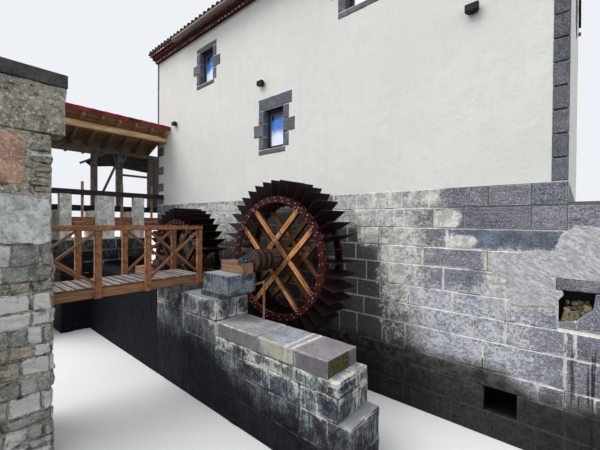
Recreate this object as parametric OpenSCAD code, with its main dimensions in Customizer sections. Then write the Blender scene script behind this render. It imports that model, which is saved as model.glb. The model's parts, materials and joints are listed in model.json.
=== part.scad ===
// Watermill: a rendered house on a stone base, two undershot wheels on clasp arms,
// a race wall with bearing pier, a timber footbridge and a tiled canopy over the sluice.
// +X runs downstream along the mill's front wall, +Y points into the house, +Z is up.
// The origin is on the underside of the front base wall, half way along and half way through.

/* [House] */
// Length of the house along the race
house_len = 11900; // [9000:50:15000]
// Depth of the house from front face to back face
house_depth = 7200; // [5500:50:9000]
// Thickness of the stone base walls
base_t = 700; // [550:10:900]
// Thickness of the rendered walls
wall_t = 600; // [400:10:650]
// Height of the stone base
base_top = 3880; // [3700:10:4200]
// Height of the underside of the eaves cornice
cornice_z = 9120; // [9000:10:9600]
// Height of the eaves cornice
cornice_h = 230; // [150:5:300]
// Reach of the eaves cornice beyond the wall
cornice_reach = 300; // [200:5:400]
// Radius of the eaves gutters
gutter_r = 80; // [60:5:100]
// Pitch of the house roof in degrees
roof_pitch = 20; // [14:0.5:28]
// Thickness of the house roof, measured straight up
roof_t = 170; // [120:5:240]
// Distance between two rows of cover tiles
tile_spacing = 220; // [180:5:260]
// Radius of a row of cover tiles
tile_r = 80; // [60:1:90]
// Overhang of the roof past each gable
verge = 60; // [20:5:150]
// Thickness of the ground floor
ground_floor_t = 250; // [150:10:320]
// Height of the upper floor's surface
upper_floor_z = 6700; // [6550:10:6900]
// Thickness of the upper floor
upper_floor_t = 200; // [120:10:300]

/* [Windows] */
// Width of a window opening
win_w = 690; // [500:10:800]
// Height of a window opening
win_h = 1000; // [800:10:1050]
// Height of the lower window's sill top
win_low_z = 5140; // [5050:10:5200]
// Height of the upper windows' sill top
win_up_z = 7640; // [7500:10:7700]
// Height of a lintel
lintel_h = 300; // [200:5:330]
// Height of a sill stone
sill_h = 130; // [80:5:160]
// Width of a short jamb stone
jamb_short = 190; // [120:5:240]
// Width of a long jamb stone
jamb_long = 380; // [250:5:420]
// Depth that dressed stones are let into the wall
stone_set = 200; // [120:5:260]
// Height that dressed stones stand proud of the render
stone_proud = 14; // [6:1:25]
// Width of the open joint between dressed stones
stone_joint = 10; // [5:1:15]

/* [Race] */
// Height of the coping on the low race wall
race_top = 1570; // [1400:10:1700]
// Thickness of the race wall
race_t = 700; // [500:10:760]
// Distance from the mill's front face to the channel side of the race wall
race_face = 2430; // [2350:10:2500]
// Thickness of the coping stones
coping_t = 240; // [150:10:300]
// Length of the low race wall beyond the pier
race_len = 2380; // [1800:20:3000]
// Height of the pier's cap stone
cap_t = 330; // [250:10:400]

/* [Waterwheels] */
// Radius of a wheel at the blade tips
wheel_r = 1530; // [1440:5:1560]
// Number of blades on a wheel
blade_count = 40; // [36:1:44]
// Width of a wheel at the blades
wheel_w = 720; // [640:5:800]
// Thickness of a blade
blade_t = 8; // [5:1:14]
// Outer radius of the iron rings
ring_r = 1223; // [1180:1:1250]
// Radial width of the iron rings
ring_w = 130; // [90:5:150]
// Thickness of the iron rings
ring_t = 12; // [8:1:20]
// Distance from the blades' ends in to the rings
ring_inset = 72; // [50:2:100]
// Width of a clasp arm, seen from the front
arm_w = 110; // [80:5:130]
// Thickness of a clasp arm along the shaft
arm_t = 85; // [60:5:100]
// Radius of the timber shaft
shaft_r = 190; // [150:5:200]
// Thickness of the iron hoops on the shaft
hoop_t = 13; // [8:1:15]
// Radius of the iron journals
journal_r = 45; // [35:1:60]
// Place of the first wheel along the wall
wheel1_x = 1550; // [1500:5:1600]
// Height of the first wheel's shaft
wheel1_z = 2580; // [2500:5:2700]
// Place of the second wheel along the wall
wheel2_x = -2260; // [-2400:10:-2200]
// Height of the second wheel's shaft
wheel2_z = 2115; // [2050:5:2180]
// Distance from the mill's front face to the near ends of the blades
wheel_face = 1300; // [1250:5:1350]

/* [Footbridge] */
// Downstream edge of the footbridge's deck
deck_x1 = 250; // [150:10:350]
// Width of the footbridge's deck
deck_w = 950; // [800:10:1100]
// Height of the underside of the bridge beams
beam_z = 2050; // [1950:10:2150]
// Height of a bridge beam
beam_h = 150; // [110:5:200]
// Thickness of a bridge beam
beam_t = 75; // [50:5:100]
// Thickness of the deck planks
plank_t = 30; // [20:1:45]
// Width of a deck plank
plank_w = 120; // [90:5:160]
// Gap between deck planks
plank_gap = 15; // [8:1:25]
// Height of the handrail's top above the deck
rail_h = 970; // [850:10:1100]
// Width of a railing post
post_w = 100; // [70:5:120]
// Width of a railing brace
brace_w = 45; // [35:5:80]

/* [Canopy] */
// Pitch of the canopy roof in degrees
canopy_pitch = 22; // [15:0.5:28]
// Height of the near canopy beam's underside
canopy_z = 6090; // [5950:10:6200]
// Height of the near canopy beam
canopy_beam_h = 180; // [140:5:220]
// Thickness of the canopy beams
canopy_beam_t = 150; // [100:5:200]
// Height of a rafter
rafter_h = 105; // [80:5:140]
// Width of a rafter
rafter_w = 80; // [60:5:110]
// Distance between rafters
rafter_pitch = 508; // [420:2:560]
// Thickness of the canopy's boards and tiles
canopy_t = 85; // [50:5:120]

/* [Hidden] */

$fn = 48;
eps = 1;
seat_gap = 0.3;
front_y = -base_t / 2;
back_y = front_y + house_depth;
mid_y = (front_y + back_y) / 2;
half_len = house_len / 2;
roof_tan = tan(roof_pitch);
eave_y = front_y - cornice_reach;
eave_z = cornice_z + cornice_h;

function roof_under(y) = eave_z + (y - eave_y) * roof_tan;

// A block given by its lowest and highest corners
module block(x0, x1, y0, y1, z0, z1)
    translate([x0, y0, z0]) cube([x1 - x0, y1 - y0, z1 - z0]);

// A profile drawn in Y and Z, run along X from x0 to x1
module along_x(x0, x1)
    translate([x0, 0, 0]) rotate([90, 0, 90]) linear_extrude(x1 - x0) children();

// A profile drawn in X and Z, run along Y from y0 to y1
module along_y(y0, y1)
    translate([0, y1, 0]) rotate([90, 0, 0]) linear_extrude(y1 - y0) children();

// Puts something drawn on the plane Y = 0, facing -Y, on one side of the house
module on_side(side) {
    if (side == "front") translate([0, front_y, 0]) children();
    if (side == "back") translate([0, back_y, 0]) rotate([0, 0, 180]) children();
    if (side == "left") translate([-half_len, mid_y, 0]) rotate([0, 0, -90]) children();
    if (side == "right") translate([half_len, mid_y, 0]) rotate([0, 0, 90]) children();
}

// Base walls

culvert_x = 5190;
culvert_w = 440;
culvert_z = 390;
culvert_h = 380;
culvert_depth = 450;
bearing_r = 120;
bearing_len = 260;

module front_base_wall() {
    color("dimgray") difference() {
        block(-half_len, half_len, front_y, -front_y, 0, base_top);
        block(culvert_x - culvert_w / 2, culvert_x + culvert_w / 2, front_y - eps, front_y + culvert_depth,
              culvert_z, culvert_z + culvert_h);
        recess();
        for (w = WHEELS)
            translate([w[0], front_y - eps, w[1]]) rotate([-90, 0, 0])
                cylinder(r = bearing_r + seat_gap, h = bearing_len + eps);
    }
}

module back_base_wall() {
    color("dimgray") block(-half_len, half_len, back_y - base_t, back_y, 0, base_top);
}

module side_base_wall(x0)
    color("dimgray") block(x0, x0 + base_t, -front_y, back_y - base_t, 0, base_top);

module left_base_wall() side_base_wall(-half_len);

module right_base_wall() side_base_wall(half_len - base_t);

terrace_len = 1150;
terrace_top = 3600;
recess_x = -80;
recess_w = 450;
recess_z = 1870;
recess_h = 530;
recess_depth = 320;

module terrace_wall() {
    color("dimgray") difference() {
        block(half_len, half_len + terrace_len, front_y, -front_y, 0, terrace_top);
        recess();
    }
}

// The broken pocket where the base wall meets the terrace wall
module recess()
    block(half_len + recess_x, half_len + recess_x + recess_w, front_y - eps, front_y + recess_depth,
          recess_z, recess_z + recess_h);

// Windows, listed as side, place along the wall, height of the sill top, and height and right-hand
// reach of the lintel

lintel_long = jamb_short + 90;
low_lintel_h = lintel_h / 2;
WINDOWS = [
    ["front", -2745, win_up_z - 40, low_lintel_h, jamb_short], ["front", 2700, win_up_z + 50, lintel_h, jamb_short],
    ["front", 235, win_low_z, lintel_h, lintel_long],
    ["back", -2700, win_up_z, lintel_h, jamb_short], ["back", 2745, win_up_z, lintel_h, jamb_short],
    ["back", -235, win_low_z, lintel_h, jamb_short],
    ["left", 0, win_up_z, lintel_h, jamb_short], ["right", 0, win_up_z, lintel_h, jamb_short]
];
sill_reach = 80;
door_x = 2720;
door_w = 1000;
door_h = 2150;
door_z = base_top + ground_floor_t;
frame_w = 50;
frame_t = 70;
sash_w = 45;
sash_t = 50;
sash_back = 12;
glass_t = 8;
reveal = 150;
jamb_rows = 3;

// The stones round one opening, as x0, x1, z0, z1
function jamb_reach(row) = row % 2 == 0 ? jamb_short : jamb_long;
function jamb_stones(w, z, h) = [
    for (side = [-1, 1], row = [0 : jamb_rows - 1])
        let (reach = jamb_reach(row), step = h / jamb_rows,
             z0 = z + row * step + (row > 0 ? stone_joint : 0))
            [side < 0 ? -w / 2 - reach : w / 2, side < 0 ? -w / 2 : w / 2 + reach, z0, z + (row + 1) * step]
];
function opening_stones(w, z, h, top, reach) = concat(
    jamb_stones(w, z, h),
    [[-w / 2 - jamb_short, w / 2 + reach, z + h + stone_joint, z + h + top],
     [-w / 2 - jamb_short, w / 2 + sill_reach, z - sill_h, z - stone_joint]]
);

// Stones round one opening, standing proud of the wall; top and reach are its lintel's height and reach
module surround(w, z, h, top, reach, proud) {
    for (s = opening_stones(w, z, h, top, reach)) block(s[0], s[1], -proud, stone_set, s[2], s[3]);
}

module window_surround(v, proud) translate([v[1], 0, 0]) surround(win_w, v[2], win_h, v[3], v[4], proud);

module door_surround(proud)
    translate([door_x, 0, 0]) surround(door_w, door_z, door_h, lintel_h, jamb_short, proud);

// Everything cut out of the walls of one side
module side_cuts(side) {
    on_side(side) {
        for (v = WINDOWS) if (v[0] == side) {
            block(v[1] - win_w / 2, v[1] + win_w / 2, -eps, wall_t + eps, v[2], v[2] + win_h);
            window_surround(v, eps);
        }
        if (side == "back") {
            block(door_x - door_w / 2, door_x + door_w / 2, -eps, wall_t + eps, door_z, door_z + door_h);
            door_surround(eps);
        }
    }
}

// Quoins on the front corners, as x0, x1, z0, z1

quoin_h = 327;
quoin_strip_w = 180;
quoin_long = 480;
quoin_short = 110;
// Tops of the left corner's big quoins above the base, long and short by turns; narrow ones stand above
QUOIN_TOPS = [0, 330, 480, 790, 1100, 1400, 1780, 2110];
left_strip_z = base_top + QUOIN_TOPS[len(QUOIN_TOPS) - 1];
left_strip_rows = 10;
left_strip_h = (cornice_z - left_strip_z) / left_strip_rows;
QUOINS = concat(
    [for (i = [1 : len(QUOIN_TOPS) - 1])
        [-half_len, -half_len + (i % 2 == 1 ? quoin_long : quoin_short), base_top + QUOIN_TOPS[i - 1] + stone_joint,
         base_top + QUOIN_TOPS[i]]],
    [for (i = [0 : left_strip_rows - 1])
        let (z = left_strip_z + i * left_strip_h)
            [-half_len, -half_len + quoin_short, z + stone_joint, z + left_strip_h]],
    [for (i = [0 : floor((cornice_z - base_top) / quoin_h) - 1])
        let (z = base_top + i * quoin_h)
            [half_len - quoin_strip_w, half_len, z + stone_joint, z + quoin_h]]
);

module quoin_stones(proud) {
    on_side("front") for (q = QUOINS) block(q[0], q[1], -proud, stone_set, q[2], q[3]);
    on_side("back") for (q = QUOINS) block(q[0], q[1], -proud, stone_set, q[2], q[3]);
}

module quoins() color("slategray") quoin_stones(stone_proud);

// One long rendered wall, its top cut to the slope of the roof
module long_wall(side) {
    difference() {
        on_side(side) along_x(-half_len, half_len)
            polygon([[0, base_top], [0, roof_under(front_y)], [wall_t, roof_under(front_y + wall_t)],
                     [wall_t, base_top]]);
        side_cuts(side);
        quoin_stones(eps);
    }
}

module front_wall() color("wheat") long_wall("front");

module back_wall() color("wheat") long_wall("back");

module gable_wall(side) {
    inner = front_y + wall_t;
    difference() {
        along_x(side == "left" ? -half_len : half_len - wall_t, side == "left" ? -half_len + wall_t : half_len)
            polygon([[inner, base_top], [inner, roof_under(inner) - seat_gap],
                     [mid_y, roof_under(mid_y) - seat_gap],
                     [2 * mid_y - inner, roof_under(inner) - seat_gap], [2 * mid_y - inner, base_top]]);
        side_cuts(side);
    }
}

module left_gable_wall() color("wheat") gable_wall("left");

module right_gable_wall() color("wheat") gable_wall("right");

module window_surrounds() {
    color("slategray") {
        for (v = WINDOWS) on_side(v[0]) window_surround(v, stone_proud);
        on_side("back") door_surround(stone_proud);
    }
}

// A rectangle of one opening drawn in by a margin, from y0 to y1 into the wall
module in_opening(margin, y0, y1)
    block(-win_w / 2 + margin, win_w / 2 - margin, y0, y1, margin, win_h - margin);

module window_frames() {
    sash_y0 = reveal + sash_back;
    color("darkslategray") for (v = WINDOWS) on_side(v[0]) translate([v[1], 0, v[2]]) difference() {
        union() {
            difference() {
                in_opening(0, reveal, reveal + frame_t);
                in_opening(frame_w, reveal - eps, reveal + frame_t + eps);
            }
            in_opening(frame_w - 5, sash_y0, sash_y0 + sash_t);
        }
        in_opening(frame_w + sash_w, reveal - eps, reveal + frame_t + eps);
    }
}

module window_glass() {
    glass_y0 = reveal + sash_back + (sash_t - glass_t) / 2;
    color("lightblue") for (v = WINDOWS) on_side(v[0]) translate([v[1], 0, v[2]])
        in_opening(frame_w + sash_w, glass_y0, glass_y0 + glass_t);
}

door_t = 60;

module back_door() {
    color("saddlebrown") on_side("back")
        block(door_x - door_w / 2, door_x + door_w / 2, reveal, reveal + door_t, door_z, door_z + door_h);
}

// Lamps on the front wall

// Places of the lamps along the wall and the heights of their undersides
LAMPS = [[-4585, 6590], [-168, 6780], [4755, 6615]];
lamp_w = 200;
lamp_h = 120;
lamp_reach = 130;
lamp_foot_w = 120;

module wall_lamps() {
    color("black") on_side("front") for (p = LAMPS) translate([p[0], 0, p[1]]) linear_extrude(lamp_h)
        polygon([[-lamp_foot_w / 2, 0], [-lamp_w / 2, -lamp_reach / 2], [-lamp_w / 2, -lamp_reach],
                 [lamp_w / 2, -lamp_reach], [lamp_w / 2, -lamp_reach / 2], [lamp_foot_w / 2, 0]]);
}

// Cornices: three rows of brick, each stepping further out

cornice_rows = 3;

module cornice_profile() {
    row_h = cornice_h / cornice_rows;
    row_reach = cornice_reach / cornice_rows;
    polygon(concat(
        [[0, cornice_z]],
        [for (i = [0 : cornice_rows - 1], edge = [0, 1])
            [-(i + 1) * row_reach, cornice_z + (i + edge) * row_h - (i + edge == cornice_rows ? seat_gap : 0)]],
        [[0, roof_under(front_y) - seat_gap]]));
}

module cornices() {
    color("firebrick") for (side = ["front", "back"])
        on_side(side) along_x(-half_len, half_len) cornice_profile();
}

// Roof

ridge_r = 130;
roof_edge = 30;
gutter_t = 4;
gutter_clear = 5;
gutter_drop = 150;
hook_w = 25;
hook_t = 5;
hook_step = 600;
// Upstream end of the front gutter
gutter_x0 = -4050;

module gutter_arc(r) intersection() {
    circle(r = r);
    translate([-r, -r]) square([2 * r, r]);
}

// A half-round gutter with closed ends, from x0 to x1, and the flat hooks that hold it to the roof
module gutter(x0, x1) {
    edge_y = -cornice_reach - gutter_clear;
    rim_z = eave_z - gutter_drop;
    translate([0, edge_y - gutter_r, rim_z]) {
        along_x(x0, x1) difference() {
            gutter_arc(gutter_r);
            circle(r = gutter_r - gutter_t);
        }
        for (x = [x0, x1 - gutter_t]) along_x(x, x + gutter_t) gutter_arc(gutter_r);
    }
    for (x = [x0 + hook_step / 2 : hook_step : x1])
        block(x - hook_w / 2, x + hook_w / 2, edge_y - hook_t - 2, edge_y - 2, rim_z - 30,
              roof_under(front_y + edge_y - hook_t - 2) - seat_gap);
}

module gutters() {
    color("silver") {
        on_side("front") gutter(gutter_x0, half_len + verge);
        on_side("back") gutter(-half_len - verge, half_len + verge);
    }
}

// Half of an octagon, flat on top: one row of cover tiles seen from the eave
module tile_rib() {
    flat = tile_r * tan(22.5);
    polygon([[tile_r, -eps], [tile_r, flat], [flat, tile_r], [-flat, tile_r], [-tile_r, flat], [-tile_r, -eps]]);
}

// Section across a slope, drawn in X and Z: a deck with a rib for each row of cover tiles
module roof_section() {
    end = half_len + verge;
    rows = round(2 * end / tile_spacing) - 1;
    deck_t = roof_t * cos(roof_pitch) - tile_r;
    translate([-end, 0]) square([2 * end, deck_t]);
    for (i = [0 : rows]) translate([-end + tile_r + i * (2 * end - 2 * tile_r) / rows, deck_t]) tile_rib();
}

// A slope is cut upright at the eave and the ridge
module roof_slope() {
    y0 = eave_y - roof_edge;
    run = (mid_y - y0) / cos(roof_pitch);
    intersection() {
        translate([0, y0, roof_under(y0)]) rotate([roof_pitch, 0, 0]) along_y(-roof_t, run + roof_t)
            roof_section();
        block(-half_len - 2 * verge, half_len + 2 * verge, y0, mid_y, cornice_z, roof_under(mid_y) + 2 * roof_t);
    }
}

module roof_front_slope() color("peru") roof_slope();

module roof_back_slope() color("peru") translate([0, 2 * mid_y, 0]) mirror([0, 1, 0]) roof_slope();

module ridge_tiles() {
    ridge_z = roof_under(mid_y) + roof_t;
    color("peru") difference() {
        translate([-half_len - verge, mid_y, ridge_z - ridge_r / 2]) rotate([0, 90, 0])
            cylinder(r = ridge_r, h = house_len + 2 * verge);
        along_x(-half_len - verge - eps, half_len + verge + eps)
            polygon([[mid_y, ridge_z], [mid_y + 2 * ridge_r, ridge_z - 2 * ridge_r * roof_tan],
                     [mid_y + 2 * ridge_r, ridge_z - 3 * ridge_r], [mid_y - 2 * ridge_r, ridge_z - 3 * ridge_r],
                     [mid_y - 2 * ridge_r, ridge_z - 2 * ridge_r * roof_tan]]);
    }
}

// Floors fill the room between the rendered walls

module floor_slab(z0, z1)
    block(-half_len + wall_t, half_len - wall_t, front_y + wall_t, back_y - wall_t, z0, z1);

module ground_floor() color("burlywood") floor_slab(base_top, base_top + ground_floor_t);

module upper_floor() color("burlywood") floor_slab(upper_floor_z - upper_floor_t, upper_floor_z);

// Waterwheels, listed as place along the wall and height of the shaft

WHEELS = [[wheel1_x, wheel1_z], [wheel2_x, wheel2_z]];
blade_y0 = front_y - wheel_face;
blade_y1 = blade_y0 + wheel_w;
ring_near_y = blade_y0 + ring_inset;
ring_far_y = blade_y1 - ring_inset - ring_t;
tongue_gap = 12;
blade_foot_r = 1030;
blade_phase = 1;
clasp = shaft_r + seat_gap + arm_w / 2;
shaft_end_y = front_y - 100;
pier_back_y = front_y - 1810;
shaft_start_y = pier_back_y + 10;
bearing_y = front_y - 1970;
journal_gap = 0.05;
HOOPS = [0.02, 0.10, 0.18, 0.93];
hoop_w = 60;

// Lays a wheel part, drawn about the Z axis with Z running into the house, on its shaft
module on_shaft(w, y) translate([w[0], y, w[1]]) rotate([-90, 0, 0]) children();

module shaft(w) {
    shaft_len = shaft_end_y - shaft_start_y;
    color("dimgray") {
        on_shaft(w, shaft_start_y) cylinder(r = shaft_r, h = shaft_len);
        for (at = HOOPS) on_shaft(w, shaft_start_y + at * shaft_len)
            cylinder(r = shaft_r + hoop_t, h = hoop_w);
        on_shaft(w, bearing_y - 90) cylinder(r = journal_r, h = shaft_start_y - bearing_y + 90 + eps);
        on_shaft(w, shaft_end_y - eps)
            cylinder(r = journal_r, h = front_y + bearing_len - 60 - shaft_end_y + eps);
    }
}

// Four arms in two crossing pairs clasp the shaft, lapped flush where they cross
module clasp_arms(w, y) {
    on_shaft(w, y) intersection() {
        union() for (turn = [45, -45], side = [-1, 1])
            rotate([0, 0, turn]) translate([-ring_r, side * clasp - arm_w / 2, 0]) cube([2 * ring_r, arm_w, arm_t]);
        cylinder(r = ring_r - 5, h = arm_t);
    }
}

module arms(w) {
    color("chocolate") {
        clasp_arms(w, ring_near_y + ring_t);
        clasp_arms(w, ring_far_y - arm_t);
    }
}

module rings(w) {
    color("sienna") for (y = [ring_near_y, ring_far_y]) on_shaft(w, y) difference() {
        cylinder(r = ring_r, h = ring_t);
        translate([0, 0, -eps]) cylinder(r = ring_r - ring_w, h = ring_t + 2 * eps);
    }
}

module blades(w) {
    tongue0 = ring_inset + ring_t + arm_t + tongue_gap;
    color("saddlebrown") on_shaft(w, blade_y0)
        for (i = [0 : blade_count - 1]) rotate([0, 0, -blade_phase - i * 360 / blade_count]) {
            translate([ring_r + seat_gap, -blade_t / 2, 0])
                cube([wheel_r - ring_r - seat_gap, blade_t, wheel_w]);
            translate([blade_foot_r, -blade_t / 2, tongue0])
                cube([ring_r + seat_gap - blade_foot_r, blade_t, wheel_w - 2 * tongue0]);
        }
}

module wheel1_shaft() shaft(WHEELS[0]);
module wheel1_arms() arms(WHEELS[0]);
module wheel1_rings() rings(WHEELS[0]);
module wheel1_blades() blades(WHEELS[0]);
module wheel2_shaft() shaft(WHEELS[1]);
module wheel2_arms() arms(WHEELS[1]);
module wheel2_rings() rings(WHEELS[1]);
module wheel2_blades() blades(WHEELS[1]);

// Bearings

timber_h = 200;
timber_w = 240;
timber_left = 520;
timber_right = 105;
housing_r = 85;
housing_len = 140;
foot_x = 100;
foot_h = 30;
saddle_drop = 10;

module bearing_blocks() {
    color("tan") for (w = WHEELS) difference() {
        block(w[0] - timber_left, w[0] + timber_right, bearing_y - timber_w / 2, bearing_y + timber_w / 2,
              w[1] - saddle_drop - timber_h, w[1] - saddle_drop);
        on_shaft(w, bearing_y - timber_w / 2 - eps) cylinder(r = housing_r + 2, h = timber_w + 2 * eps);
    }
    color("tan") stay();
}

// The timber stay beside the pier: an upright on the coping and an arm back to the cap stone
stay_x = 1862;
stay_t = 33;
stay_top = 2260;
stay_arm = [[1640, 2170], [1895, 2260], [1895, 2225], [1640, 2135]];

module stay() {
    y = pier_back_y + seat_gap;
    block(stay_x, stay_x + stay_t, y, y + stay_t, race_top + seat_gap, stay_top);
    along_y(y, y + stay_t) polygon(stay_arm);
}

module plummer_blocks() {
    color("darkcyan") for (w = WHEELS) difference() {
        union() {
            on_shaft(w, bearing_y - housing_len / 2) cylinder(r = housing_r, h = housing_len);
            block(w[0] - foot_x, w[0] + foot_x, bearing_y - housing_len / 2, bearing_y + housing_len / 2,
                  w[1] - saddle_drop, w[1] - saddle_drop + foot_h);
        }
        on_shaft(w, bearing_y - housing_len) cylinder(r = journal_r + journal_gap, h = 2 * housing_len);
    }
}

module wall_bearings() {
    color("darkslategray") for (w = WHEELS) difference() {
        union() {
            on_shaft(w, front_y) cylinder(r = bearing_r, h = bearing_len);
            on_shaft(w, front_y - 20) cylinder(r = bearing_r + 50, h = 20);
        }
        on_shaft(w, front_y - 20 - eps) cylinder(r = journal_r + journal_gap, h = bearing_len + 20 + 2 * eps);
    }
}

// Race wall and pier

race_y0 = front_y - race_face;
race_y1 = race_y0 + race_t;
pier_x1 = 1665;
pier_cap_len = 745;
pier_len = 1365;
pier_set = 300;
neck_x = [905, 335];
neck_h = 110;
pier_top = wheel1_z - saddle_drop - timber_h;
up_top = wheel2_z - saddle_drop - timber_h;
sill_stone_x0 = -800;
coping_lengths = [0.44, 0.31, 0.25];
pillar_x1 = -half_len + 595;
pillar_x0 = pillar_x1 - 1300;
pillar_foot = 100;

// Heights of the foot stones at the wall's end and how far they reach past it
END_STONES = [[race_top - coping_t, 150], [840, 330]];

module race_wall() {
    color("slategray") for (s = END_STONES)
        block(pier_x1 - pier_set, pier_x1 - pier_set + race_len + s[1], race_y0, race_y1, 0, s[0]);
}

module race_coping() {
    x0 = pier_x1 - pier_set;
    starts = [0, coping_lengths[0], coping_lengths[0] + coping_lengths[1]];
    color("gray") for (i = [0 : len(starts) - 1])
        block(x0 + starts[i] * race_len + (i > 0 ? stone_joint : 0),
              x0 + (starts[i] + coping_lengths[i]) * race_len,
              race_y0 - 10, race_y1 - 20, race_top - coping_t, race_top);
}

module bearing_pier() {
    x0 = pier_x1 - pier_len;
    cap_z = pier_top - cap_t;
    color("gray") {
        block(pier_x1 - pier_cap_len, pier_x1, race_y0 + 30, pier_back_y, cap_z, pier_top);
        block(pier_x1 - neck_x[0], pier_x1 - neck_x[1], race_y0 + 80, pier_back_y - 20, cap_z - neck_h, cap_z);
        block(x0, pier_x1 - pier_set, race_y0, race_y1, 0, cap_z - neck_h);
        block(sill_stone_x0, x0, race_y0, pier_back_y, 0, beam_z);
    }
}

module upstream_race_wall() {
    color("slategray") block(pillar_x1 + pillar_foot, sill_stone_x0, race_y0, pier_back_y, 0, up_top);
}

// Left bank wall with its slab cap, and the bridge abutment behind it

bank_x0 = 375;
bank_x1 = 745;
bank_far = 6300;
bank_end = 4600;
bank_up_end = 4440;
bank_y0 = front_y - bank_far;
bank_low_y1 = front_y - bank_end;
bank_up_y1 = front_y - bank_up_end;
bank_ledge_z = 4440;
bank_cap_z = 5090;
bank_cap_t = 180;

module left_bank_wall() {
    color("rosybrown") {
        block(bank_x0, bank_x1, bank_y0, bank_low_y1, 0, bank_ledge_z);
        block(bank_x0, bank_x1, bank_y0, bank_up_y1, bank_ledge_z, bank_cap_z);
        block(bank_x0 - 20, bank_x1 + 20, bank_y0, bank_up_y1 + 20, bank_cap_z, bank_cap_z + bank_cap_t);
    }
}

abut_near = 5600;
abut_end = 4720;
abut_y0 = front_y - abut_near;
abut_y1 = front_y - abut_end;

module bridge_abutment() {
    color("rosybrown") block(deck_x1 - deck_w - post_w - 20, bank_x0, abut_y0, abut_y1, 0, beam_z);
}

// Footbridge

deck_y0 = abut_y0 + 200;
deck_y1 = front_y - 1980;
rail_post_t = 80;
handrail_h = 70;
handrail_w = 110;
deck_top = beam_z + beam_h + plank_t;
rail_top = deck_top + rail_h;
// Post centres, measured from the mill's front face
RAIL_POSTS = [5030, 3910, 3120, 2100];
BRACED_BAYS = [0, 2];
beam_count = 3;
plank_count = floor((deck_y1 - deck_y0 + plank_gap) / (plank_w + plank_gap));

module bridge_beams() {
    color("goldenrod") for (i = [0 : beam_count - 1])
        let (x = deck_x1 - deck_w + i * (deck_w - beam_t) / (beam_count - 1))
            block(x, x + beam_t, deck_y0, deck_y1, beam_z, beam_z + beam_h);
}

module bridge_deck() {
    color("gray") for (i = [0 : plank_count - 1])
        let (y = deck_y0 + i * (plank_w + plank_gap))
            block(deck_x1 - deck_w, deck_x1, y, y + plank_w, beam_z + beam_h, deck_top);
}

// One diagonal bar of a braced bay, from (y0, z0) to (y1, z1)
module brace(x, y0, z0, y1, z1) {
    run = sqrt((y1 - y0) * (y1 - y0) + (z1 - z0) * (z1 - z0));
    turn = atan2(z1 - z0, y1 - y0);
    translate([x, y0, z0]) rotate([turn, 0, 0]) translate([0, 0, -brace_w / 2]) cube([brace_w, run, brace_w]);
}

// A railing whose posts stand against the beam at x0 to x0 + rail_post_t
module railing(x0) {
    z0 = deck_top + 60;
    z1 = rail_top - handrail_h - 40;
    brace_x = x0 + (rail_post_t - brace_w) / 2;
    for (p = RAIL_POSTS)
        block(x0, x0 + rail_post_t, front_y - p - post_w / 2, front_y - p + post_w / 2, beam_z,
              rail_top - handrail_h);
    block(x0 + (rail_post_t - handrail_w) / 2, x0 + (rail_post_t + handrail_w) / 2,
          front_y - RAIL_POSTS[0] - post_w / 2, front_y - RAIL_POSTS[3] + post_w / 2,
          rail_top - handrail_h, rail_top);
    for (b = BRACED_BAYS) {
        y0 = front_y - RAIL_POSTS[b] + post_w / 2 - 10;
        y1 = front_y - RAIL_POSTS[b + 1] - post_w / 2 + 10;
        brace(brace_x, y0, z0, y1, z1);
        brace(brace_x, y0, z1, y1, z0);
    }
}

module near_railing() color("sienna") railing(deck_x1);

module far_railing() color("sienna") railing(deck_x1 - deck_w - rail_post_t);

// Sluice: three stone piers across the channel, the timber beams on them and the gates

// Sluice piers, as near and far side, measured from the mill's front face
PILLARS = [[3150, 2870], [2180, 1690], [1060, 750]];
pillar_foot_y = [2550, 1450];
pillar_foot_top = 2720;
front_beam_z = 4070;
front_beam_h = 160;
front_beam_x = pillar_x1 - 225;
back_beam_z = 3600;
back_beam_h = 195;
back_beam_x = pillar_x0 + 75;
sluice_beam_t = 150;
rear_end_y = front_y + 250;
canopy_pier_near = 4200;
canopy_pier_end = 3600;
canopy_pier_y0 = front_y - canopy_pier_near;
canopy_pier_y1 = front_y - canopy_pier_end;

module sluice_piers() {
    step_x = front_beam_x - 30;
    color("darkgray") for (p = PILLARS) {
        block(step_x, pillar_x1, front_y - p[0], front_y - p[1], 0, front_beam_z);
        block(pillar_x0, step_x, front_y - p[0], front_y - p[1], 0, back_beam_z);
    }
    color("darkgray")
        block(pillar_x0 - pillar_foot, pillar_x1 + pillar_foot, front_y - pillar_foot_y[0],
              front_y - pillar_foot_y[1], 0, pillar_foot_top);
}

module sluice_beams() {
    color("saddlebrown") {
        block(front_beam_x, front_beam_x + sluice_beam_t, canopy_pier_y1, front_y - stone_proud,
              front_beam_z, front_beam_z + front_beam_h);
        block(back_beam_x, back_beam_x + sluice_beam_t, canopy_pier_y1, rear_end_y,
              back_beam_z, back_beam_z + back_beam_h);
    }
}

gate_t = 50;
gate_h = 450;
gate_z = 2950;
stem_w = 70;
stem_top = 4500;

module sluice_gates() {
    gate_x = front_beam_x - gate_t - seat_gap;
    color("saddlebrown") for (i = [0 : len(PILLARS) - 1]) {
        y0 = front_y - PILLARS[i][1];
        y1 = front_y - (i + 1 < len(PILLARS) ? PILLARS[i + 1][0] : stone_proud);
        block(gate_x, gate_x + gate_t, y0, y1, gate_z, gate_z + gate_h);
        block(gate_x, gate_x + gate_t, (y0 + y1 - stem_w) / 2, (y0 + y1 + stem_w) / 2, gate_z + gate_h, stem_top);
    }
}

// Canopy

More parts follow.
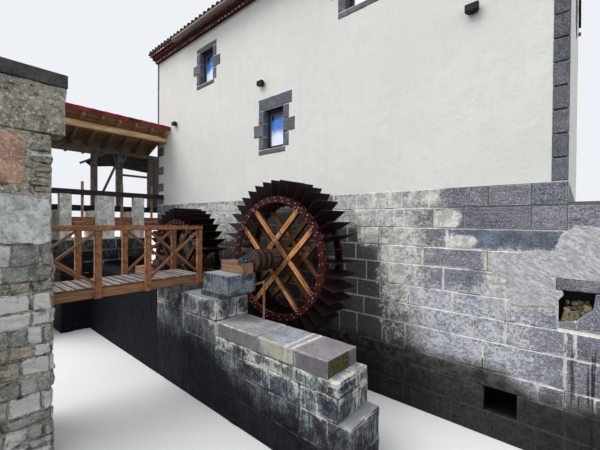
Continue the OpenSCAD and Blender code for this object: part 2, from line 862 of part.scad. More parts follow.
near_beam_x = -half_len + 570;
far_beam_x = back_beam_x;
canopy_tan = tan(canopy_pitch);
near_beam_top = canopy_z + canopy_beam_h;
canopy_x1 = near_beam_x + 435;
canopy_x0 = far_beam_x - 570;
canopy_y0 = canopy_pier_y0 - 50;
far_beam_h = 150;
pier_reach = 100;
pier_ledge = 60;
rafter_short = 110;
rafter_count = floor((front_y - canopy_y0 - 60) / rafter_pitch) + 1;

// Height of the rafters' undersides, which rest on the near beam's downstream edge
function rafter_under(x) = near_beam_top + (x - near_beam_x) * canopy_tan;

module canopy_pier() {
    far_top = rafter_under(far_beam_x) - far_beam_h - seat_gap;
    color("rosybrown") {
        block(far_beam_x - pier_reach, near_beam_x + canopy_beam_t + pier_ledge, canopy_pier_y0, canopy_pier_y1,
              0, far_top);
        block(near_beam_x - pier_ledge, near_beam_x + canopy_beam_t + pier_ledge, canopy_pier_y0, canopy_pier_y1,
              far_top, canopy_z - seat_gap);
    }
}

module canopy_beams() {
    color("goldenrod") {
        along_y(canopy_y0, front_y)
            polygon([[near_beam_x, canopy_z], [near_beam_x, near_beam_top],
                     [near_beam_x + canopy_beam_t, near_beam_top],
                     [near_beam_x + canopy_beam_t, canopy_z]]);
    }
}

// Posts, as near and far side, measured from the mill's front face
CANOPY_POSTS = [[2030, 1850], [1240, 1040], [125, -65], [-80, -250]];
// Braces of the rear frame: from and to, each measured from the front face and down from the plate
POST_BRACES = [[1880, 1035, 1190, 215], [1140, 535, 1360, -30], [1140, 535, 910, -30], [1510, -30, 2350, 445]];
strut_w = 70;
rail_h_rear = 75;
rail_drop = 735;
weather_t = 30;
// Outline of the boarding behind the posts, measured in the same way
WEATHER_BOARDS = [[2000, 515], [2190, 370], [1560, 0], [60, 0], [60, 515], [1380, 420]];

// The old rear frame that carries the low side of the canopy
module canopy_posts() {
    plate_z = rafter_under(far_beam_x) - far_beam_h;
    rail_z = plate_z - rail_drop;
    color("gray") {
        block(far_beam_x, far_beam_x + canopy_beam_t, canopy_y0, rear_end_y, plate_z, rafter_under(far_beam_x));
        for (p = CANOPY_POSTS)
            block(back_beam_x, back_beam_x + sluice_beam_t, front_y - p[0], front_y - p[1],
                  back_beam_z + back_beam_h, plate_z);
        for (b = POST_BRACES)
            translate([far_beam_x + (canopy_beam_t - strut_w) / 2, 0, 0])
                rear_strut(front_y - b[0], plate_z - b[1], front_y - b[2], plate_z - b[3]);
        block(far_beam_x + strut_w, far_beam_x + 2 * strut_w, front_y - CANOPY_POSTS[1][1] - 20,
              front_y - CANOPY_POSTS[2][0] + 20, rail_z, rail_z + rail_h_rear);
        along_x(far_beam_x - weather_t, far_beam_x + 5)
            polygon([for (p = WEATHER_BOARDS) [front_y - p[0], plate_z + 5 - p[1]]]);
    }
}

// A square strut in the plane X = 0 to strut_w, from (y0, z0) to (y1, z1)
module rear_strut(y0, z0, y1, z1) {
    run = sqrt((y1 - y0) * (y1 - y0) + (z1 - z0) * (z1 - z0));
    translate([0, y0, z0]) rotate([atan2(z1 - z0, y1 - y0), 0, 0])
        translate([0, 0, -strut_w / 2]) cube([strut_w, run, strut_w]);
}

rafter_x0 = canopy_x0 + rafter_short;
rafter_x1 = canopy_x1 - rafter_short;

module rafter_profile() {
    polygon([[rafter_x0, rafter_under(rafter_x0)], [rafter_x0, rafter_under(rafter_x0) + rafter_h - seat_gap],
             [rafter_x1, rafter_under(rafter_x1) + rafter_h - seat_gap], [rafter_x1, rafter_under(rafter_x1)]]);
}

module canopy_rafters() {
    color("goldenrod") for (i = [0 : rafter_count - 1])
        let (y = front_y - 100 - i * rafter_pitch)
            difference() {
                along_y(y - rafter_w / 2, y + rafter_w / 2) rafter_profile();
                block(near_beam_x, near_beam_x + canopy_beam_t, y - rafter_w, y + rafter_w,
                      canopy_z, near_beam_top);
                block(far_beam_x, far_beam_x + canopy_beam_t, y - rafter_w, y + rafter_w,
                      canopy_z - 2 * canopy_beam_h - far_beam_h, rafter_under(far_beam_x));
            }
}

module canopy_roof() {
    color("firebrick") along_y(canopy_y0, front_y - stone_proud)
        polygon([[canopy_x0, rafter_under(canopy_x0) + rafter_h],
                 [canopy_x0, rafter_under(canopy_x0) + rafter_h + canopy_t],
                 [canopy_x1, rafter_under(canopy_x1) + rafter_h + canopy_t],
                 [canopy_x1, rafter_under(canopy_x1) + rafter_h]]);
}

front_base_wall();
back_base_wall();
left_base_wall();
right_base_wall();
terrace_wall();
front_wall();
back_wall();
left_gable_wall();
right_gable_wall();
quoins();
window_surrounds();
window_frames();
window_glass();
back_door();
wall_lamps();
cornices();
gutters();
roof_front_slope();
roof_back_slope();
ridge_tiles();
ground_floor();
upper_floor();
race_wall();
race_coping();
upstream_race_wall();
bearing_pier();
bearing_blocks();
plummer_blocks();
wall_bearings();
wheel1_shaft();
wheel1_arms();
wheel1_rings();
wheel1_blades();
wheel2_shaft();
wheel2_arms();
wheel2_rings();
wheel2_blades();
left_bank_wall();
bridge_abutment();
bridge_beams();
bridge_deck();
near_railing();
far_railing();
sluice_piers();
sluice_beams();
sluice_gates();
canopy_pier();
canopy_beams();
canopy_posts();
canopy_rafters();
canopy_roof();
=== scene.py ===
"""Dresses the watermill's plain solids with stones, timber grain, iron, tiles and render."""

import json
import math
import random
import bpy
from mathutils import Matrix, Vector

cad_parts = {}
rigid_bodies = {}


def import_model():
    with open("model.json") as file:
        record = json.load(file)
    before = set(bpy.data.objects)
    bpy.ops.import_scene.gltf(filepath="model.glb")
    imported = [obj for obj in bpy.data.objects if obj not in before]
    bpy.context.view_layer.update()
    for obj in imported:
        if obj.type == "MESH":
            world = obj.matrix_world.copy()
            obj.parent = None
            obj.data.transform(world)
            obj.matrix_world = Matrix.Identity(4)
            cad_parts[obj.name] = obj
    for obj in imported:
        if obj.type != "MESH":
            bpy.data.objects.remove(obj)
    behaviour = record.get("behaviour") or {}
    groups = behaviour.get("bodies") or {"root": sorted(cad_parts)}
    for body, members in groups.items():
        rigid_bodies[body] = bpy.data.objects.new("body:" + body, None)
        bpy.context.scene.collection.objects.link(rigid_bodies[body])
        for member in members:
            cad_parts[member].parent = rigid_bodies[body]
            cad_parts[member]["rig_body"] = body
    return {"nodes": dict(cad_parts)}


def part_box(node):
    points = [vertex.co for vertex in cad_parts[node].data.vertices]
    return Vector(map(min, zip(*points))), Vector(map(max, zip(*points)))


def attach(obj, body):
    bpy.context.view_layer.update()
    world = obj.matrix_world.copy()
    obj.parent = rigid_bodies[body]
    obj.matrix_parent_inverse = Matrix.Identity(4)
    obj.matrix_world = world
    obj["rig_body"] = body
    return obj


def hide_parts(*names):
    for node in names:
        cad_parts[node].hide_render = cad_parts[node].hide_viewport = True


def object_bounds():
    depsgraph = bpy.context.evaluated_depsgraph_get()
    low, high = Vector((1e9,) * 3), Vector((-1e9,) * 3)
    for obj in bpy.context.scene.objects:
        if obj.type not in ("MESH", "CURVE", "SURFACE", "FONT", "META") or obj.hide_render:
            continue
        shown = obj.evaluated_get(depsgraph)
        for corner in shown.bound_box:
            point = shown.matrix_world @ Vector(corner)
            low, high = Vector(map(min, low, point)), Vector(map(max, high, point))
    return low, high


bl_info = {
    "name": "Watermill Finish",
    "version": (1, 0, 0),
    "blender": (4, 5, 0),
    "location": "View3D > Sidebar > Mill",
    "description": "Stonework, timber, ironwork and tiles for the watermill",
    "category": "Object",
}

import bmesh
import bpy
from bpy.props import FloatProperty, FloatVectorProperty, PointerProperty
from bpy.types import Operator, Panel, PropertyGroup
from mathutils import Matrix, Vector, noise

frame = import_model()
NODES = frame["nodes"]
CAD_LOW, CAD_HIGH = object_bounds()
UP = Vector((0, 0, 1))


# Settings

def colour(name, red, green, blue):
    """A colour setting, given as the 0 to 255 values that a painter would read off a swatch."""
    return FloatVectorProperty(name=name, description=f"Colour of the {name.lower()}", subtype="COLOR_GAMMA",
                               size=3, min=0, max=1, default=(red / 255, green / 255, blue / 255))


def length(name, description, value):
    """A length setting in metres."""
    return FloatProperty(name=name, description=description, default=value, min=0, unit="LENGTH", precision=4)


def angle(name, description, degrees):
    """An angle setting, given in degrees."""
    return FloatProperty(name=name, description=description, default=math.radians(degrees), subtype="ANGLE")


def strength(name, description, value):
    """A setting for the strength of a light."""
    return FloatProperty(name=name, description=description, default=value, min=0)


class MillStoneSettings(PropertyGroup):
    """Sizes and colours of the stonework and the render."""

    proud: length("Stone face", "How far the ashlar stands out of its mortar", 0.012)
    joint: length("Joint", "Width of a mortar joint", 0.016)
    worn: length("Worn edge", "Width of the worn edge of a stone", 0.012)
    base: colour("Base stone", 148, 148, 157)
    pale: colour("Pale stone", 184, 186, 190)
    slate: colour("Slate stone", 92, 105, 118)
    buff: colour("Buff stone", 168, 158, 144)
    wet: colour("Wet stone", 40, 39, 34)
    dressed: colour("Dressed stone", 120, 121, 128)
    mortar: colour("Mortar", 196, 194, 186)
    cement: colour("Cement", 202, 202, 203)
    render: colour("Render", 226, 226, 219)
    race: colour("Race stone", 104, 107, 114)
    coping: colour("Coping stone", 180, 179, 180)
    rubble: colour("Rubble stone", 196, 191, 174)
    pillar: colour("Sluice pillar", 216, 213, 207)
    bank: colour("Rough cast", 170, 165, 150)
    bank_pale: colour("Pale rough cast", 222, 227, 224)
    bank_cap: colour("Slab cap", 90, 89, 88)
    red_patch: colour("Red plaster", 206, 164, 144)
    moss: colour("Green stain", 62, 60, 26)
    pocket: colour("Pocket rubble", 150, 136, 108)


class MillTimberSettings(PropertyGroup):
    """Sizes and colours of the timber."""

    chamfer: length("Arris", "Width of the eased edge of a timber", 0.006)
    arm: colour("Wheel arm", 255, 162, 102)
    block: colour("Bearing timber", 186, 144, 108)
    honey: colour("Canopy timber", 250, 190, 140)
    beam: colour("Bridge beam", 180, 130, 88)
    rail: colour("Railing", 178, 118, 76)
    stem: colour("Gate stem", 200, 154, 112)
    plank: colour("Deck plank", 172, 158, 152)
    old: colour("Old timber", 116, 108, 100)
    dark: colour("Wet timber", 44, 38, 36)
    floor: colour("Floor board", 168, 134, 96)
    door: colour("Door board", 92, 62, 42)


class MillIronSettings(PropertyGroup):
    """Sizes and colours of the ironwork and the glass."""

    bolt: length("Bolt", "Width of a bolt head", 0.030)
    rust: colour("Rusty ring", 52, 18, 17)
    flange: colour("Rusty flange", 100, 52, 34)
    hoop: colour("Shaft hoop", 44, 40, 42)
    blade: colour("Blade", 30, 20, 22)
    shaft: colour("Shaft", 78, 56, 48)
    zinc: colour("Zinc bolt", 178, 176, 178)
    teal: colour("Bearing paint", 26, 62, 72)
    frame: colour("Window frame", 44, 48, 54)
    # The window glass colour is the blue of the sky that the panes are painted to reflect.
    glass: colour("Window glass", 52, 118, 206)
    black: colour("Lamp", 18, 20, 23)
    gutter: colour("Gutter", 168, 158, 148)


class MillRoofSettings(PropertyGroup):
    """Sizes and colours of the tiles and bricks."""

    spacing: length("Tile spacing", "Distance between two rows of cover tiles", 0.22)
    exposed: length("Exposed length", "Length of a tile that shows", 0.36)
    tile: colour("House tile", 104, 78, 68)
    canopy: colour("Canopy tile", 158, 54, 58)
    brick: colour("Cornice brick", 104, 44, 44)
    bedding: colour("Cornice mortar", 220, 204, 194)


class MillStageSettings(PropertyGroup):
    """The camera, the lamps and the floor."""

    eye: FloatVectorProperty(name="Eye", description="Place of the camera", subtype="TRANSLATION", size=3,
                             default=(6.095, -6.05, 3.30))
    yaw: angle("Yaw", "Camera's heading from +X", 130.95)
    pitch: angle("Pitch", "Camera's tilt", -0.585)
    roll: angle("Roll", "Camera's roll", -0.464)
    focal: FloatProperty(name="Focal length", description="Focal length as a share of the frame's width",
                         default=324.4 / 600, min=0.1)
    floor: colour("Floor", 232, 232, 230)
    sun: strength("Sun", "Strength of the lamp", 1.9)
    sun_width: angle("Sun width", "Width of the lamp in the sky", 40)
    towards: FloatVectorProperty(name="Direction", description="Where the lamp shines to", size=3,
                                 subtype="DIRECTION", default=(0.35, 0.62, -0.9))
    sky: strength("Sky", "Strength of the light from the sky", 1.15)
    backdrop: strength("Backdrop", "Strength of the sky where the camera looks straight at it", 0.92)


def settings(group):
    """The values of one group of settings."""
    return getattr(bpy.context.scene, "mill_" + group)


# Places, all in metres

BASE_LOW, BASE_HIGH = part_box("front_base_wall")
BACK_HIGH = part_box("back_base_wall")[1]
TERRACE_LOW, TERRACE_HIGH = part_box("terrace_wall")
# Heights of the base's beds, from its foot to its top
BEDS = [0.0, 0.39, 0.77, 1.026, 1.481, 1.835, 2.167, 2.556, 2.883, 3.213, 3.556, 3.88]
# Upright joints of the front wall along X, by the foot of their course
FRONT_JOINTS = {
    3.556: [2.1, 2.65, 3.15, 3.6, 4.1, 5.0, 5.55], 3.213: [2.3, 2.65, 2.95, 3.65, 4.2, 4.65, 5.55, 7.0],
    2.883: [2.45, 2.85, 3.15, 4.4, 5.85], 2.556: [2.3, 2.65, 3.15, 4.0, 5.0, 5.8],
    2.167: [2.4, 2.9, 3.35, 4.35, 5.3, 5.95], 1.835: [2.7, 3.2, 3.75, 4.5, 5.25, 5.95],
    1.481: [2.3, 2.85, 3.4, 4.8, 5.25, 6.05], 1.026: [2.7, 3.25, 3.7, 4.95, 5.9], 0.77: [4.4, 5.65, 5.9],
}
# Rectangles on the front wall, as x0, x1, z0, z1
CULVERT = (4.97, 5.41, 0.39, 0.77)
RECESS = (5.87, 6.32, 1.87, 2.40)
BUFF_STONE = (3.15, 3.62, 3.556, 3.9)
SLATE_STONE = (4.40, 5.85, 2.885, 3.211)
# Limed spots on the front wall: their rectangle, how soft its edge is, and how thickly they are limed
LIMED_SPOTS = ((4.19, 4.61, 3.22, 3.52, 0.12, 1.0), (4.35, 4.85, 2.88, 3.10, 0.12, 1.0),
               (2.1, 2.9, 3.2, 3.9, 0.15, 0.6), (3.9, 4.3, 3.56, 3.9, 0.1, 0.7),
               (4.9, 5.95, 1.95, 2.95, 0.2, 0.62), (-4.3, -1.1, 2.7, 3.9, 0.2, 0.6))
# The wheels stand before this stretch of the front wall
BEHIND_WHEELS = (-0.7, 1.9)
# Limed bands across the coping: from x0 to x1, and how soft their edges are
COPING_JOINTS = ((2.98, 3.03, 0.02), (3.11, 3.17, 0.02), (1.36, 1.42, 0.03))
# Where the pier ends along X, and the low race wall with its coping goes on downstream
PIER_END = 1.3
# The cement patch and the stones left standing in the broken pocket, as X and Z
PATCH = [(5.03, 2.83), (5.82, 2.93), (5.86, 3.11), (6.03, 3.29), (6.28, 3.25), (7.085, 3.25), (7.085, 2.56),
         (5.90, 2.54), (5.92, 2.33), (5.83, 2.15), (5.30, 2.08), (5.31, 2.45), (5.06, 2.55)]
POCKET_LEDGE = (5.84, 7.09, 2.395, 2.56)
POCKET_RIGHT = [(6.06, 1.88), (6.32, 1.88), (6.32, 2.39), (6.25, 2.38), (6.23, 2.17), (6.07, 2.01)]
POCKET_FOOT = [(5.87, 1.88), (6.05, 1.88), (6.06, 1.99), (5.87, 1.95)]


# Materials

def linear(value):
    """An sRGB colour as linear light with full alpha."""
    return tuple(c / 12.92 if c <= 0.04045 else ((c + 0.055) / 1.055) ** 2.4 for c in value) + (1,)


def shade(value, factor):
    """A colour setting made lighter or darker."""
    return tuple(min(1, c * factor) for c in value)


class Finish:
    """A material in the making, with short calls for the nodes that the mill's finishes share."""

    def __init__(self, name, rough=0.8, metal=0.0, gloss=0.5, blocks=True):
        self.blocks = blocks
        self.material = bpy.data.materials.new(name)
        self.material.use_nodes = True
        self.tree = self.material.node_tree
        self.shader = self.tree.nodes["Principled BSDF"]
        self.shader.inputs["Roughness"].default_value = rough
        self.shader.inputs["Metallic"].default_value = metal
        self.shader.inputs["Specular IOR Level"].default_value = gloss
        self.where = self.node("ShaderNodeTexCoord").outputs["Object"]

    def node(self, kind, **values):
        """A new node with some of its values set."""
        made = self.tree.nodes.new(kind)
        for key, value in values.items():
            setattr(made, key, value)
        return made

    def feed(self, socket, value):
        """Links a socket to another, or sets it to a plain value."""
        if isinstance(value, bpy.types.NodeSocket):
            self.tree.links.new(value, socket)
        else:
            socket.default_value = value

    def attribute(self, name, output="Vector"):
        """What a piece's vertices carry under a name."""
        return self.node("ShaderNodeAttribute", attribute_name=name).outputs[output]

    def stretched(self, vector, scale, turn=0.0):
        """Coordinates turned about Y and then scaled, so that a pattern can run aslant."""
        made = self.node("ShaderNodeMapping", vector_type="TEXTURE")
        self.feed(made.inputs["Vector"], vector)
        made.inputs["Scale"].default_value = [1 / size for size in scale]
        made.inputs["Rotation"].default_value = (0, math.radians(turn), 0)
        return made.outputs["Vector"]

    def noise(self, scale, detail=4.0, rough=0.55, vector=None):
        """Soft noise from 0 to 1; a larger scale makes it finer."""
        made = self.node("ShaderNodeTexNoise")
        self.feed(made.inputs["Vector"], vector or self.where)
        made.inputs["Scale"].default_value = scale
        made.inputs["Detail"].default_value = detail
        made.inputs["Roughness"].default_value = rough
        return made.outputs["Fac"]

    def grain(self):
        """Each block's own coordinates, moved so that no two blocks look alike."""
        if not self.blocks:
            return self.where
        made = self.node("ShaderNodeVectorMath", operation="MULTIPLY_ADD")
        self.feed(made.inputs[0], (37, 53, 71))
        self.feed(made.inputs[1], self.attribute("tone", "Fac"))
        self.feed(made.inputs[2], self.attribute("local"))
        return made.outputs[0]

    def rim(self):
        """How far a point on a block's face is from the nearest edge of that face, in metres."""
        if not self.blocks:
            return 1.0
        local, half = self.attribute("local"), self.attribute("half")
        a, b, c = (self.minus(self.part(axis, half), self.size(self.part(axis, local))) for axis in "XYZ")
        return self.most(self.sums("MINIMUM", a, b), self.sums("MINIMUM", self.most(a, b), c))

    def facing(self, axis, low, high):
        """From 0 to 1 as the surface turns to face an axis."""
        return self.spread(self.part(axis, self.node("ShaderNodeNewGeometry").outputs["Normal"]), low, high)

    def part(self, axis, vector=None):
        """One axis of a vector, or of the place on the mill."""
        made = self.node("ShaderNodeSeparateXYZ")
        self.feed(made.inputs[0], vector or self.where)
        return made.outputs[axis]

    def spread(self, value, low, high, to_low=0.0, to_high=1.0):
        """Turns the range from low to high softly into that from to_low to to_high."""
        made = self.node("ShaderNodeMapRange", interpolation_type="SMOOTHSTEP")
        self.feed(made.inputs["Value"], value)
        for key, limit in zip(("From Min", "From Max", "To Min", "To Max"), (low, high, to_low, to_high)):
            made.inputs[key].default_value = limit
        return made.outputs["Result"]

    def sums(self, operation, first, *others):
        """One arithmetic operation, carried on from each value to the next."""
        for other in others:
            made = self.node("ShaderNodeMath", operation=operation)
            self.feed(made.inputs[0], first)
            self.feed(made.inputs[1], other)
            first = made.outputs[0]
        return first

    def plus(self, *values):
        return self.sums("ADD", *values)

    def minus(self, *values):
        return self.sums("SUBTRACT", *values)

    def times(self, *values):
        return self.sums("MULTIPLY", *values)

    def most(self, *values):
        return self.sums("MAXIMUM", *values)

    def size(self, value):
        return self.sums("ABSOLUTE", value, 0)

    def inside(self, x0, x1, z0, z1, soft=0.02, grown=0.0):
        """1 inside a rectangle of the front wall, or one that is grown by some metres, and 0 outside it."""
        x, z = self.part("X"), self.part("Z")
        x0, x1, z0, z1 = x0 - grown, x1 + grown, z0 - grown, z1 + grown
        return self.times(self.spread(x, x0 - soft, x0 + soft), self.spread(x, x1 + soft, x1 - soft),
                          self.spread(z, z0 - soft, z0 + soft), self.spread(z, z1 + soft, z1 - soft))

    def gritty(self, amount, scale=26, soft=0.08, broad=0.9):
        """A grainy mask that covers more as amount goes from 0 to 1; broad is the share of wide patches."""
        grit = self.plus(self.noise(scale, 6, 0.9), self.times(self.noise(5, 6, 0.8), broad))
        level = self.times(self.minus(amount, 0.5), 0.62)
        middle = (1 + broad) / 2
        return self.spread(self.plus(grit, level), middle - soft, middle + soft)

    def mix(self, factor, a, b):
        """One colour laid over another; each is a socket or a colour setting."""
        made = self.node("ShaderNodeMix", data_type="RGBA")
        self.feed(made.inputs["Factor"], factor)
        self.feed(made.inputs[6], a if isinstance(a, bpy.types.NodeSocket) else linear(a))
        self.feed(made.inputs[7], b if isinstance(b, bpy.types.NodeSocket) else linear(b))
        return made.outputs[2]

    def bump(self, height, distance, strength=1.0):
        """Fine relief, added to what the material has."""
        made = self.node("ShaderNodeBump")
        self.feed(made.inputs["Height"], height)
        made.inputs["Distance"].default_value = distance
        made.inputs["Strength"].default_value = strength
        last = self.shader.inputs["Normal"]
        if last.is_linked:
            self.feed(made.inputs["Normal"], last.links[0].from_socket)
        self.feed(last, made.outputs["Normal"])

    def paint(self, value):
        """Gives the material its colour and hands it over."""
        self.feed(self.shader.inputs["Base Color"], value)
        return self.material


MADE = {}


def finish(make):
    """Makes a finish the first time that it is asked for, and gives the same one afterwards."""
    def once(*values):
        key = (make.__name__,) + tuple(tuple(v) if hasattr(v, "__len__") and not isinstance(v, str) else v
                                       for v in values)
        if key not in MADE:
            MADE[key] = make(*values)
        return MADE[key]
    return once


def stone_grain(f, base, speckle=0.5, tooling=0.5):
    """The cloudy, pitted colour of volcanic stone; each block is lighter or darker, and bluer or browner."""
    grain = f.grain()
    tone = f.attribute("tone", "Fac")
    hue = f.sums("FRACT", f.times(tone, 7.3), 0)
    red, green, blue = base
    value = f.mix(hue, (red * 0.95, green * 0.99, blue * 1.03), (red * 1.04, green * 0.99, blue * 0.98))
    cloud = f.noise(3.4, 6, 0.75, grain)
    value = f.mix(f.spread(cloud, 0.36, 0.64), f.mix(0.42, value, (0, 0, 0)), value)
    value = f.mix(f.spread(tone, 0.1, 1.0, 0.0, 0.45), value, shade(base, 0.56))
    lines = f.noise(1, 4, 0.7, f.stretched(grain, (7, 7, 80)))
    value = f.mix(f.spread(lines, 0.48, 0.60, 0, 0.7 * tooling), value, shade(base, 0.45))
    value = f.mix(f.spread(lines, 0.46, 0.36, 0, 0.25 * tooling), value, shade(base, 1.35))
    pitted = f.noise(52, 3, 0.8, grain)
    value = f.mix(f.spread(pitted, 0.53, 0.68, 0, speckle), value, shade(base, 1.6))
    value = f.mix(f.spread(pitted, 0.47, 0.34, 0, speckle * 1.3), value, shade(base, 0.34))
    f.bump(pitted, 0.010, 0.8)
    f.bump(lines, 0.006, tooling)
    f.bump(f.noise(8, 5, 0.6), 0.03, 0.5)
    return value


def wall_zones(f):
    """Where the front base wall is wetted by the wheels, black at the foot, limed, pale and streaked, and
    where painted shade falls on it behind the wheels.
    """
    x, z = f.part("X"), f.part("Z")
    cloud = f.noise(1.4, 6, 0.65)
    loose = f.times(f.minus(cloud, 0.5), 1.1)
    beyond = f.plus(x, f.times(z, 0.33), loose)
    left, right = BEHIND_WHEELS
    behind = f.times(f.spread(x, left - 0.3, left), f.spread(x, right + 0.3, right))
    upper = f.plus(f.minus(z, f.times(behind, 0.45)), f.times(loose, 0.3))
    wet = f.times(f.spread(beyond, 4.55, 3.85), f.spread(upper, 3.30, 3.05))
    drop = f.spread(x, 5.1, 5.6, 0, 0.18)
    foot = f.spread(f.plus(z, drop, f.times(loose, 0.35)), 1.24, 0.92)
    band = f.times(f.spread(x, 2.9, 3.35), f.spread(x, 4.9, 3.5), f.spread(z, 1.0, 2.6, 0.36, 0.66))
    upright = f.times(f.spread(x, 2.55, 2.8), f.spread(x, 3.9, 3.4), f.spread(z, 2.6, 3.0), 0.66)
    spots = [f.times(f.inside(*spot), share) for *spot, share in LIMED_SPOTS]
    pale = f.times(f.spread(f.plus(z, loose), 3.0, 2.1), f.spread(x, 3.2, 3.9),
                   f.spread(x, 6.3, 5.2, 0.45, 1))
    drip = f.noise(1, 3, 0.5, f.stretched(f.where, (19, 19, 0.7)))
    below = f.times(f.spread(x, 5.95, 6.05), f.spread(x, 6.5, 6.35), f.spread(z, 1.75, 1.5))
    # shadow is painted shade: the wall behind the wheels is darkened as if in their shade.
    return {"wet": wet, "foot": foot, "pale": pale,
            "lime": f.gritty(f.most(band, upright, *spots)),
            "drips": f.times(f.spread(drip, 0.55, 0.60), below),
            "dry": f.times(f.spread(x, 4.1, 4.5), f.spread(z, 3.16, 3.24)),
            "shadow": f.times(behind, f.spread(upper, 3.3, 3.0), 0.7)}


def wet_foot(f, base, amount):
    """The black and olive growth at the foot of the walls."""
    s = settings("stone")
    growth = f.mix(f.spread(f.noise(9, 6, 0.75), 0.42, 0.60), shade(s.wet, 0.55), shade(s.wet, 1.7))
    growth = f.mix(f.spread(f.part("Z"), 1.0, 0.45, 0, 0.9), growth, shade(s.wet, 0.35))
    return f.mix(f.times(amount, 0.94), base, growth)


def smear_mortar(f, value, smear, share=1.0, reach=0.008, wander=0.08):
    """Mortar wiped over the edges of the stones: reach is how far in metres, and wander makes it ragged."""
    ragged = f.plus(f.rim(), f.times(f.minus(f.noise(11, 6, 0.85), 0.5), wander))
    patchy = f.spread(f.noise(2.3, 4, 0.7), 0.38, 0.56, 0.25, 1.0)
    return f.mix(f.times(f.spread(ragged, reach + 0.008, reach - 0.008), patchy, share), value, smear)


@finish
def base_stone(name, zoned):
    """Ashlar of the base; the front is zoned: lime-smeared in the middle, black where it is wet, and in
    painted shade behind the wheels.
    """
    s = settings("stone")
    f = Finish(name, 0.82, 0, 0.12)
    value = stone_grain(f, s.base, 0.6, 0.7)
    if not zoned:
        value = smear_mortar(f, value, s.mortar, 0.8)
        return f.paint(wet_foot(f, value, f.spread(f.plus(f.part("Z"), f.noise(1.4, 5)), 1.7, 1.3)))
    zone = wall_zones(f)
    value = f.mix(f.times(f.inside(*BUFF_STONE), 0.6), value, s.buff)
    slate = f.mix(f.spread(f.noise(5, 6, 0.8), 0.38, 0.62), shade(s.slate, 0.7), shade(s.slate, 1.25))
    value = f.mix(f.times(f.inside(*SLATE_STONE), 0.62), value, slate)
    value = f.mix(f.times(zone["pale"], 0.14), value, s.pale)
    speckled = f.gritty(f.times(zone["pale"], 0.50), 24, 0.06, 0.35)
    value = f.mix(f.times(speckled, 0.72), value, shade(s.pale, 1.25))
    damp = f.mix(f.noise(12, 6, 0.85), shade(s.wet, 0.9), shade(s.wet, 2.0))
    value = f.mix(f.times(zone["wet"], 0.82), value, damp)
    # Painted shade behind the wheels, here and in the thin mortar below.
    value = f.mix(zone["shadow"], value, shade(s.wet, 0.3))
    thin = f.mix(zone["wet"], shade(s.mortar, 1.2), shade(s.mortar, 0.74))
    thin = f.mix(zone["shadow"], thin, shade(s.wet, 0.8))
    value = smear_mortar(f, value, thin, f.minus(0.9, f.times(zone["dry"], 0.75)), 0.010)
    chalk = f.mix(f.spread(f.noise(7, 6, 0.8), 0.4, 0.6), shade(s.mortar, 0.92), shade(s.mortar, 1.25))
    chalk = f.mix(f.spread(f.noise(24, 6, 0.95), 0.55, 0.62, 0, 0.7), chalk, shade(s.base, 0.75))
    value = f.mix(f.times(zone["lime"], 0.84), value, chalk)
    value = f.mix(f.times(zone["drips"], 0.85), value, shade(s.wet, 0.7))
    value = wet_foot(f, value, zone["foot"])
    f.feed(f.shader.inputs["Roughness"], f.spread(f.most(zone["wet"], zone["foot"]), 0, 1, 0.85, 0.5))
    return f.paint(value)


def coursed(f, base, joint):
    """Staggered courses on the flat ends and tops that carry no stones of their own."""
    up = f.facing("Z", 0.5, 0.9)
    flat = f.minus(1.0, up)
    spot = f.node("ShaderNodeCombineXYZ")
    f.feed(spot.inputs[0], f.plus(f.part("X"), f.times(f.part("Y"), flat)))
    f.feed(spot.inputs[1], f.plus(f.part("Z"), f.times(f.part("Y"), up)))
    made = f.node("ShaderNodeTexBrick")
    f.feed(made.inputs["Vector"], spot.outputs[0])
    for key, value in (("Scale", 1.0), ("Brick Width", 0.62), ("Row Height", 0.34), ("Mortar Size", 0.010),
                       ("Mortar Smooth", 0.4), ("Color1", linear(shade(base, 0.85))),
                       ("Color2", linear(shade(base, 1.1))), ("Mortar", linear(joint))):
        made.inputs[key].default_value = value
    value = f.mix(f.spread(f.noise(30, 6, 0.85), 0.44, 0.56), shade(base, 0.5), shade(base, 1.2))
    return f.mix(0.45, made.outputs["Color"], value)


@finish
def mortar(name, factor, zoned):
    """Mortar, lighter or darker by a factor; the front's is zoned as its stones are, with painted shade
    inside its culvert and recess.
    """
    s = settings("stone")
    f = Finish(name, 0.95, 0, 0.1)
    value = f.mix(f.noise(14, 5, 0.7), shade(s.mortar, 0.86 * factor), shade(s.mortar, 1.1 * factor))
    if zoned:
        zone = wall_zones(f)
        value = f.mix(f.spread(f.noise(3.1, 4, 0.7), 0.42, 0.56, 0, 0.45), value, shade(s.base, 1.2))
        missing = f.spread(f.noise(1.7, 4, 0.7), 0.55, 0.58, 0, 0.75)
        value = f.mix(f.most(missing, f.times(zone["dry"], 0.85)), value, shade(s.mortar, 0.25))
        value = f.mix(f.times(zone["wet"], 0.5), value, shade(s.mortar, 0.5))
        # Painted shade behind the wheels, as on the stones.
        value = f.mix(zone["shadow"], value, shade(s.wet, 0.8))
        ends = f.most(f.facing("Z", 0.5, 0.9), f.facing("X", 0.5, 0.9))
        value = wet_foot(f, f.mix(ends, value, coursed(f, s.base, s.mortar)), zone["foot"])
        # Inside the culvert and the recess the mortar is painted nearly black: painted shade in the holes.
        holes = f.most(f.inside(*CULVERT, grown=0.04), f.inside(*RECESS, grown=0.04))
        recess_shade = f.times(f.spread(f.part("Y"), BASE_LOW.y + 0.01, BASE_LOW.y + 0.12), holes, 0.95)
        value = f.mix(recess_shade, value, (0.03, 0.03, 0.03))
    else:
        value = wet_foot(f, value, f.spread(f.plus(f.part("Z"), f.noise(1.1, 5)), 1.9, 1.3))
    f.bump(f.noise(45, 4, 0.7), 0.01, 0.7)
    return f.paint(value)


